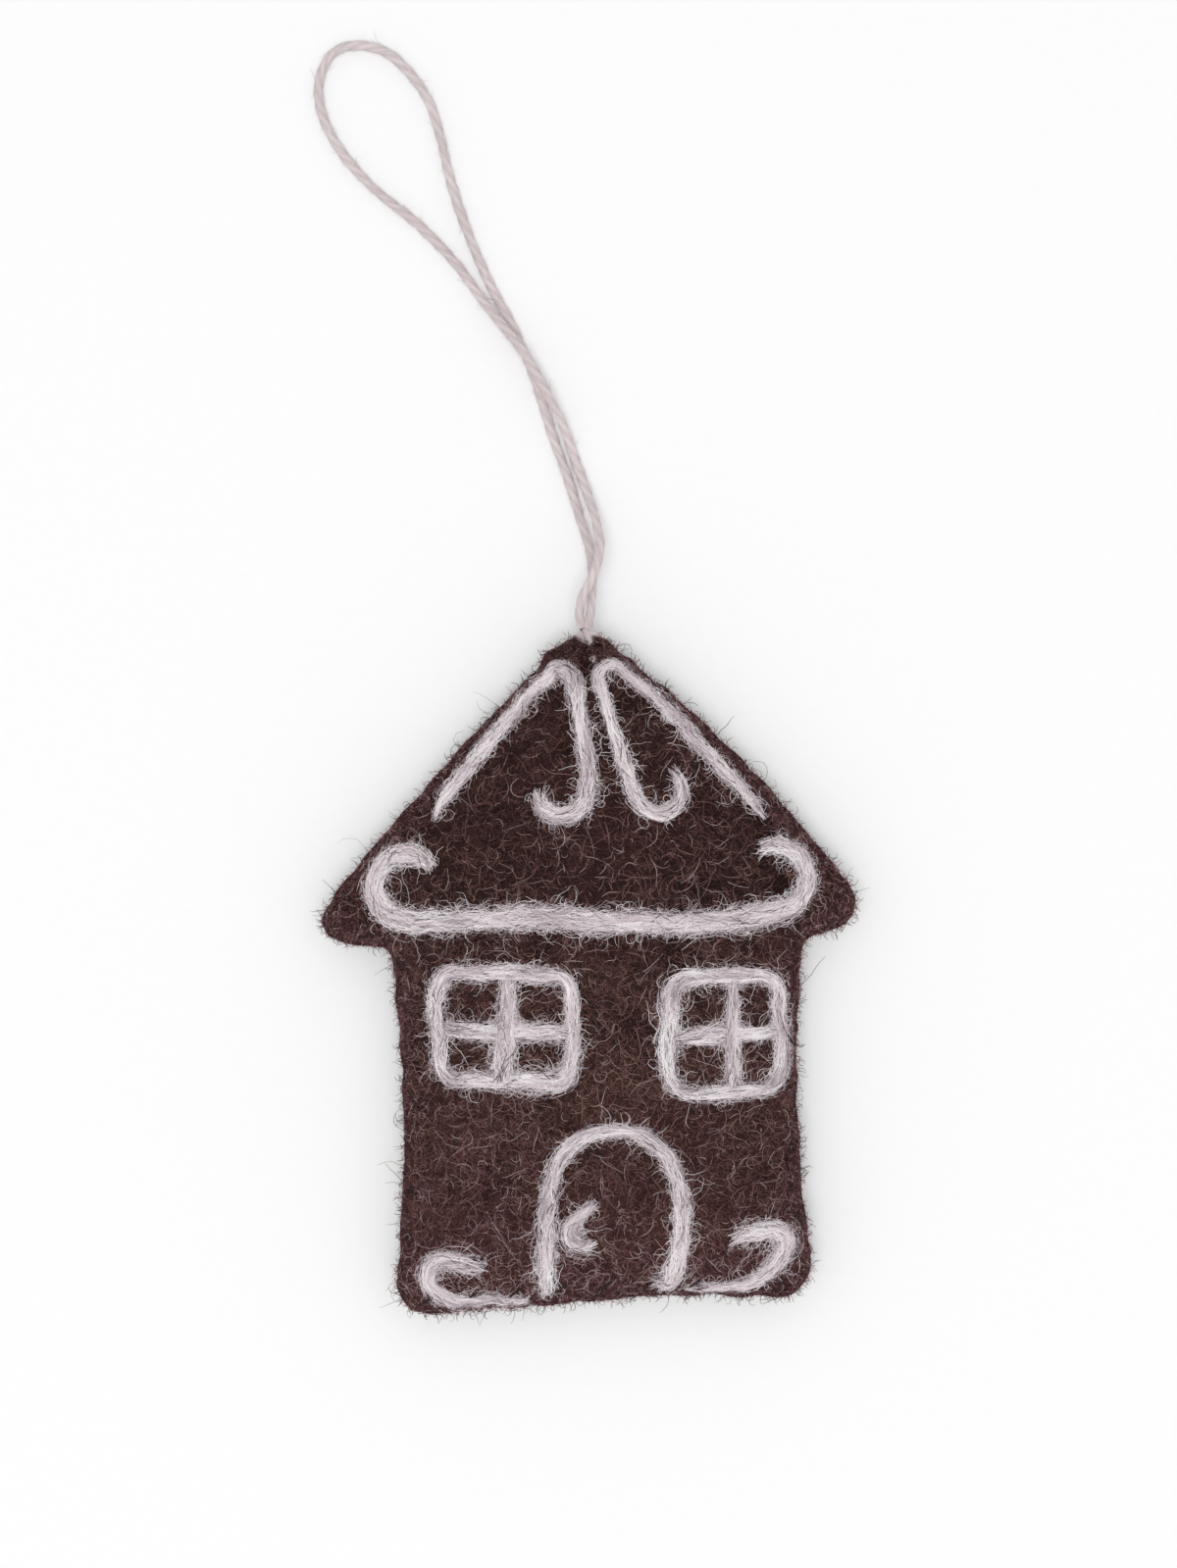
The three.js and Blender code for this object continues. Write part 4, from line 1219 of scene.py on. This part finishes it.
def add_back_fuzz():
    """Fibres that lie flat on the back's felt."""
    rng = np.random.default_rng(120)
    count = 2600
    starts = scattered(back_line, count, rng)
    lengths = random_lengths(rng, count, 3.0, 0.8, 0.8, 6)
    plan = wandering(starts, rng.uniform(0, 2 * math.pi, count), lengths, 7, 0.34, rng)
    paths = lifted(plan, np.maximum(back_height(plan) - 0.05 * MM, 0.03 * MM))
    radii = FUZZ_RADIUS * rng.uniform(0.55, 1.1, count)
    strands("back_fuzz", paths, radii, BROWN_FIBRES, rng.choice(4, count))


def add_edge_fuzz():
    """Short fibres that stick out all round the cut edges."""
    for part, (line, low, high, slot) in enumerate((
            (front_line, SEAM_HEIGHT, RIM_TOP - 0.4 * MM, "felt_front"),
            (back_line, RIM_LOW + 0.3 * MM, SEAM_HEIGHT, "felt_back"))):
        rng = np.random.default_rng(130 + part)
        count = 6600
        starts, outward = places_on(line, count, rng)
        starts = starts + rng.uniform(-0.2, 0.2, (count, 2)) * MM - outward * 0.15 * MM
        headings = heading(outward) + rng.normal(0, 1.0, count)
        lengths = random_lengths(rng, count, 2.6, 0.15, 0.2, 1.1)
        plan = wandering(starts, headings, lengths, 6, 0.42, rng)
        paths = sloping(plan, low, high, (0.05, 0.45), lengths, rng)
        radii = FUZZ_RADIUS * rng.uniform(0.45, 0.9, count)
        shades = mixed(rng, count, 0.26, 0.36, 0.24, 0.1, 0.04)
        strands(f"edge_fuzz_{part}", paths, radii, MAROON_FIBRES, shades)


def add_hem_fuzz():
    """Wool that fills the step between the front's edge and the back's."""
    rng = np.random.default_rng(160)
    count = 5000
    starts, outward = places_on(back_line, count, rng)
    starts = starts - outward * rng.uniform(-0.15 * MM, 0.6 * MM, (count, 1))
    along = heading(right_of(outward)) + math.pi * rng.integers(0, 2, count)
    lengths = random_lengths(rng, count, 2.4, 0.4, 0.4, 1.8)
    plan = wandering(starts, along + rng.normal(0, 0.4, count), lengths, 7, 0.35, rng)
    paths = sloping(plan, SEAM_HEIGHT, RIM_TOP - 0.5 * MM, (0.1, 0.3), lengths, rng)
    radii = FUZZ_RADIUS * rng.uniform(0.6, 1.3, count)
    # Painted light: these shades run lighter than the edge fuzz's, against the shade that falls in the step.
    shades = mixed(rng, count, 0.1, 0.32, 0.34, 0.18, 0.06)
    strands("hem_fuzz", paths, radii, MAROON_FIBRES, shades)


def add_rim_fuzz():
    """Fibres of the front's edge band, redder than the rest."""
    rng = np.random.default_rng(140)
    count = 5200
    starts, outward = places_on(front_line, count, rng)
    starts = starts - outward * rng.gamma(1.4, 0.5 * MM, count)[:, None]
    paths = tousled(rng, starts, (2.2, 0.6, 0.5, 4), 7, 0.45, 0.03, 0.1, 0.5)
    radii = FUZZ_RADIUS * rng.uniform(0.6, 1.4, len(paths))
    shades = mixed(rng, len(paths), 0.2, 0.35, 0.26, 0.14, 0.05)
    strands("rim_fuzz", paths, radii, MAROON_FIBRES, shades)


KNOT_LOW, KNOT_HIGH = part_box("loop_knot")
KNOT_PLACE = (np.array(KNOT_LOW) + KNOT_HIGH) / 2 + np.array([0.3, -1.4, 0.8]) * MM


def add_peak_tuft():
    """Wool teased up round the knot where the string leaves the peak."""
    rng = np.random.default_rng(150)
    near = np.flatnonzero(front_line[:, 1] > PEAK - 3.5 * MM)
    close = bell((front_line[near, 0] - ROOT.x) / (2.4 * MM))
    count = 1500
    index = rng.choice(near, count, p=close / close.sum())
    starts = front_line[index] + outwards(front_line)[index] * rng.normal(-0.1 * MM, 0.55 * MM, (count, 1))
    paths = tousled(rng, starts, (2.6, 0.4, 0.5, 2.4), 8, 0.6, 0.1, 0.7, 1.3)
    away = np.linalg.norm(paths[:, 2:6, :2].mean(axis=1) - KNOT_PLACE[:2], axis=1)
    paths = paths[(away > 1 * MM) | (rng.random(len(paths)) < 0.15)]
    radii = FUZZ_RADIUS * rng.uniform(0.6, 1.4, len(paths))
    shades = mixed(rng, len(paths), 0.1, 0.16, 0.18, 0.12, 0.1, 0.14, 0.12, 0.08)
    strands("peak_tuft", paths, radii, BROWN_FIBRES[:4] + MAROON_FIBRES[:4], shades)


add_felt_fuzz()
add_rim_fuzz()
add_hem_fuzz()
add_peak_tuft()
add_back_fuzz()
add_edge_fuzz()


# The icing


ROVING_SINK = 0.3 * MM
ROVING_CORE = 0.6
ROVING_SIDES = 14
FIBRE_STEPS = 14


def roving_heights(widths):
    """How thick a roving of a width stands."""
    return np.clip(0.42 * widths, 0.35 * MM, 1.1 * MM) + ROVING_SINK


def crossing_lift(name, line):
    """An upright bar climbs over the bar across it."""
    if not name.endswith("bar_upright"):
        return np.zeros(line.shape[:-1])
    other = routes[name.replace("upright", "across")]["line"]
    away = distance_to(line.reshape(-1, 2), other).reshape(line.shape[:-1])
    return 0.35 * MM * bell(away / (1.3 * MM))


def roving_body(name, route):
    """A roving's core: a flattened loft along its route, streaked along its length."""
    line, closed, widths = route["line"], route["closed"], route["widths"] * ROVING_CORE
    angle = circle(ROVING_SIDES)
    above = np.maximum(np.sin(angle), 0)
    reach = np.cos(angle) * widths[:, None] / 2
    plan = line[:, None, :] + route["across"][:, None, :] * reach[..., None]
    rise = above ** 0.8 * roving_heights(widths)[:, None] + np.minimum(np.sin(angle), 0) * 0.2 * MM
    ripple = 0.05 * MM * noise(plan, 0.7 * MM, 80) * above
    level = front_height(plan) - ROVING_SINK + rise + ripple + crossing_lift(name, line)[:, None]
    faces = loft_faces(len(line), ROVING_SIDES, closed)
    faces = [faces[:, [0, 2, 1]], faces[:, [0, 3, 2]]]
    if not closed:
        last = (len(line) - 1) * ROVING_SIDES
        hub = np.arange(1, ROVING_SIDES - 1)
        zero = np.zeros(len(hub), int)
        faces += [np.stack([zero, hub, hub + 1], axis=1), np.stack([zero, hub + 1, hub], axis=1) + last]
    coordinates = unrolled(np.arange(len(line)) * ROVING_STEP, angle / (2 * math.pi) * 6 * MM)
    made = mesh_object(
        f"{name}_wool", lifted(plan, level), np.concatenate(faces), [WOOL], coordinates=coordinates)
    piece(made, name)


def route_at(route, station, offset):
    """Places at stations along a route, in steps, and at offsets across it, in half widths."""
    count = len(route["line"])
    if route["closed"]:
        station = station % count
    inner = np.clip(station, 0, count - 1.001) if not route["closed"] else station
    low = np.floor(inner).astype(int)
    high = (low + 1) % count
    share = (inner - low)[..., None]
    place = between(route["line"][low], route["line"][high], share)
    across = unit(between(route["across"][low], route["across"][high], share))
    width = between(route["widths"][low], route["widths"][high], share[..., 0])
    beyond = (station - inner) * ROVING_STEP
    plan = place + across * (offset * width / 2)[..., None] + right_of(across) * beyond[..., None]
    return plan, width


def roving_strands(name, route, seed):
    """The fibres of a roving's surface in locks, some of them loose and a few of the short ones brown."""
    rng = np.random.default_rng(seed)
    total = len(route["line"])
    length = total * ROVING_STEP
    count = int(length / MM * (4 + 7.5 * route["width"] / MM))
    run = np.clip(rng.gamma(3.5, 1.2 * MM, count), 1.4 * MM, 0.8 * length) / ROVING_STEP
    spare = 0.7 * MM / ROVING_STEP
    start = rng.uniform(-spare, np.maximum(total + spare - run, 0))
    if route["closed"]:
        start = rng.uniform(0, total, count)
    share = np.linspace(0, 1, FIBRE_STEPS)
    station = start[:, None] + run[:, None] * share
    locks = 2 + round(route["width"] / MM)
    lock = rng.integers(0, locks, count)
    loose = rng.random(count) < 0.3
    base = np.linspace(-0.62, 0.62, locks)[lock] + rng.normal(0, 0.1, count)
    base = np.where(loose, rng.normal(0, 0.65, count).clip(-1.25, 1.25), base)
    cross = rng.normal(0, 0.55, count)[:, None] * (share - 0.5)

    def strayed(beside, size, layer):
        spots = np.stack(np.broadcast_arrays(station * ROVING_STEP, beside[:, None] * MM), axis=-1)
        return noise(spots, size, layer)

    weave = 0.26 * strayed(lock * 7 + seed, 3.2 * MM, 90)
    own = strayed(np.arange(count) * 3, 2.4 * MM, 91) * np.where(loose, 0.32, 0.2)[:, None]
    own += strayed(np.arange(count) * 3, 0.9 * MM, 92) * np.where(loose, 0.36, 0.22)[:, None]
    offset = base[:, None] + weave + own + cross
    if not route["closed"]:
        left = np.minimum(station, total - 1 - station) * ROVING_STEP
        offset = offset * (1 + 0.7 * np.exp(-np.maximum(left, -1 * MM) / (0.9 * MM)) / math.e)
    plan, width = route_at(route, station, offset)
    crown = np.clip(1 - (offset / 0.86) ** 2, 0, 1) ** 0.4
    height = roving_heights(width * ROVING_CORE) * crown
    level = front_height(plan) - ROVING_SINK + np.maximum(height, ROVING_SINK + 0.03 * MM)
    level = level + crossing_lift(name, plan) * crown + rng.gamma(1.0, 0.06 * MM, (count, 1))
    radii = rng.uniform(0.03, 0.066, count) * MM * np.where(loose, 0.6, 1)
    bright = noise(plan[:, FIBRE_STEPS // 2], 1.4 * MM, 94) + rng.normal(0, 0.4, count)
    shades = np.digitize(bright, [-0.45, 0.05, 0.45])
    brown = (run * ROVING_STEP < 3 * MM) & (rng.random(count) < 0.3)
    shades = np.where(brown, len(PALE_FIBRES), shades)
    materials = PALE_FIBRES + BROWN_FIBRES[1:2]
    strands(f"{name}_strands", lifted(plan, level), radii, materials, shades)


def stray_hairs():
    """Loose hairs that leave the icing and lie curled on the felt."""
    rng = np.random.default_rng(300)
    plans = []
    for route in routes.values():
        count = int(len(route["line"]) * ROVING_STEP / MM * 17)
        station = rng.uniform(0, len(route["line"]) - 1, count)
        side = rng.choice([-1.0, 1.0], count)
        starts, _ = route_at(route, station, side * rng.uniform(0.55, 1.15, count))
        across = route["across"][station.astype(int)]
        ahead = right_of(across) * rng.choice([-1.0, 1.0], count)[:, None]
        away = unit(ahead * rng.uniform(0.3, 3.0, count)[:, None] + across * side[:, None])
        lengths = random_lengths(rng, count, 1.8, 0.6, 0.4, 6)
        plans.append(wandering(starts, heading(away), lengths, 8, 0.5, rng))
    plan = np.concatenate(plans)
    paths = kept(lying(plan, 0.1 * MM, 0.1 * MM, rng), 0.3 * MM, rng, bare=False)
    radii = rng.uniform(0.014, 0.034, len(paths)) * MM
    shades = rng.choice(len(PALE_FIBRES), len(paths))
    for part, few in enumerate(np.array_split(np.arange(len(paths)), 2)):
        strands(f"icing_stray_hairs_{part}", paths[few], radii[few], PALE_FIBRES, shades[few])


def add_icing():
    for number, (name, route) in enumerate(routes.items()):
        roving_body(name, route)
        roving_strands(name, route, 200 + number)
    stray_hairs()


add_icing()


# The seam


THREAD_RADIUS = 0.2 * MM
THREAD_STEP = 0.3 * MM


def add_seam():
    """The overcast thread, drawn tight into the felt's edge."""
    pulled = rim_line - rim_out * (0.25 * MM)
    knots = []
    for along in stitch_along:
        hole = on_edge(rim_line - rim_out * STITCH_INSET, along)
        knots.append((*hole, float(front_height(hole)) - 0.1 * MM))
        knots.append((*hole, SEAM_HEIGHT))
        knots.append((*hole, float(back_height(hole)) - 0.1 * MM))
        if along == stitch_along[-1]:
            break
        under = on_edge(pulled, along + 0.35 * stitch_step)
        knots.append((*under, RIM_LOW + 0.35 * MM))
        over = on_edge(pulled + rim_out * 0.35 * MM, along + 0.5 * stitch_step)
        knots.append((*over, SEAM_HEIGHT))
        upper = on_edge(pulled, along + 0.65 * stitch_step)
        knots.append((*upper, float(front_height(upper)) + 0.05 * MM))
    path = smooth_line(knots, THREAD_STEP)
    path[:, 2] = np.maximum(path[:, 2], 0.3 * MM)
    angle = circle(7)
    coordinates = unrolled(np.arange(len(path)) * THREAD_STEP, angle / (2 * math.pi) * 1.5 * MM)
    points = ringed(path, angle[None, :], THREAD_RADIUS)
    made = mesh_object(
        "seam_stitches", points, loft_faces(len(path), len(angle)), [THREAD], coordinates=coordinates)
    piece(made, "seam_thread")


add_seam()


# The loop's knot and its stitch through the peak


def add_knot():
    """A small overhand knot that gathers the loop's two ends."""
    t = np.linspace(0, 2 * math.pi, 150, endpoint=False)
    bend = np.stack([np.sin(t) + 2 * np.sin(2 * t), np.cos(t) - 2 * np.cos(2 * t), -np.sin(3 * t)], axis=1)
    size = np.array([0.36, 0.34, 0.5]) * MM
    path = smooth_line(bend * size + KNOT_PLACE, 0.16 * MM)
    return piece(twisted("knot", path, 0.9 * STRING, 5), "loop_knot")


def add_stitch():
    """The string's stitch over the front of the peak, down through both panels and up behind them."""
    low, high = (Vector(corner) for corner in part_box("loop_stitch"))
    x = (low.x + high.x) / 2
    hole = low.y + STRING / 2
    knots = [
        (x + 0.1 * MM, PEAK + 1.6 * MM, RIM_TOP - 1.2 * MM),
        (x + 0.4 * MM, PEAK + 0.5 * MM, RIM_TOP + 0.1 * MM),
        (x + 0.9 * MM, PEAK - 0.9 * MM, RIM_TOP + 0.35 * MM),
        (x + 1 * MM, hole, RIM_TOP - 0.2 * MM),
        (x + 0.4 * MM, hole - 0.1 * MM, SEAM_HEIGHT),
        (x, hole, RIM_LOW - 0.4 * MM),
        (x, PEAK - 0.4 * MM, RIM_LOW - 0.6 * MM),
        (x, PEAK + 1.2 * MM, RIM_LOW - 0.1 * MM),
        (x - 0.2 * MM, PEAK + 1.8 * MM, SEAM_HEIGHT - 0.8 * MM),
    ]
    path = smooth_line(knots, 0.2 * MM)
    return piece(twisted("peak_stitch", path, 0.78 * STRING, 8), "loop_stitch")


knot = add_knot()
peak_stitch = add_stitch()


def add_string_fuzz():
    """Short fibres that stand off the string."""
    rng = np.random.default_rng(400)
    count = 1300
    index = rng.integers(4, len(loop_path) - 4, count)
    tangent, side, rise = (part[index] for part in transported(loop_path))
    angle = rng.uniform(0, 2 * math.pi, count)[:, None]
    outward = np.cos(angle) * side + np.sin(angle) * rise
    starts = loop_path[index] + outward * STRING * 0.4
    share = np.linspace(0, 1, 5)[None, :, None]
    lengths = random_lengths(rng, count, 2, 0.28, 0.2, 2)[:, None, None]
    along = tangent[:, None, :] * rng.choice([-1.0, 1.0], count)[:, None, None]
    away = outward[:, None, :] * rng.uniform(0.2, 0.9, count)[:, None, None]
    paths = starts[:, None, :] + lengths * share * (along + away * share)
    paths[..., 2] = np.maximum(paths[..., 2], 0.04 * MM)
    paths = paths[paths[:, :, 1].min(axis=1) > ROOT.y + 2.2 * MM]
    radii = rng.uniform(0.014, 0.03, len(paths)) * MM
    shades = rng.choice(len(PALE_FIBRES), len(paths))
    return strands("loop_fuzz", paths, radii, PALE_FIBRES, shades, body="loop")


string_fuzz = add_string_fuzz()


# Floor and light


def add_floor():
    half = 8
    corners = [(-half, -half, 0), (half, -half, 0), (half, half, 0), (-half, half, 0)]
    floor = mesh_object("floor", corners, [[0, 1, 2, 3]], [floor_material()])


def add_light(name, size, energy, place, aim=(0, 0.02, 0)):
    data = bpy.data.lights.new(name, "AREA")
    data.shape = "DISK"
    data.size = size
    data.energy = energy
    light = linked(name, data)
    light.location = place
    light.rotation_euler = (Vector(aim) - Vector(place)).to_track_quat("-Z", "Y").to_euler()


def add_world():
    world = bpy.data.worlds.new("studio")
    bpy.context.scene.world = world
    world.use_nodes = True
    back = world.node_tree.nodes["Background"]
    back.inputs["Color"].default_value = (1, 1, 1, 1)
    back.inputs["Strength"].default_value = 0.7


add_floor()
add_world()
add_light("overhead", 1.4, 22, (-0.12, -0.3, 2.2))
bpy.context.scene.view_settings.view_transform = "Standard"
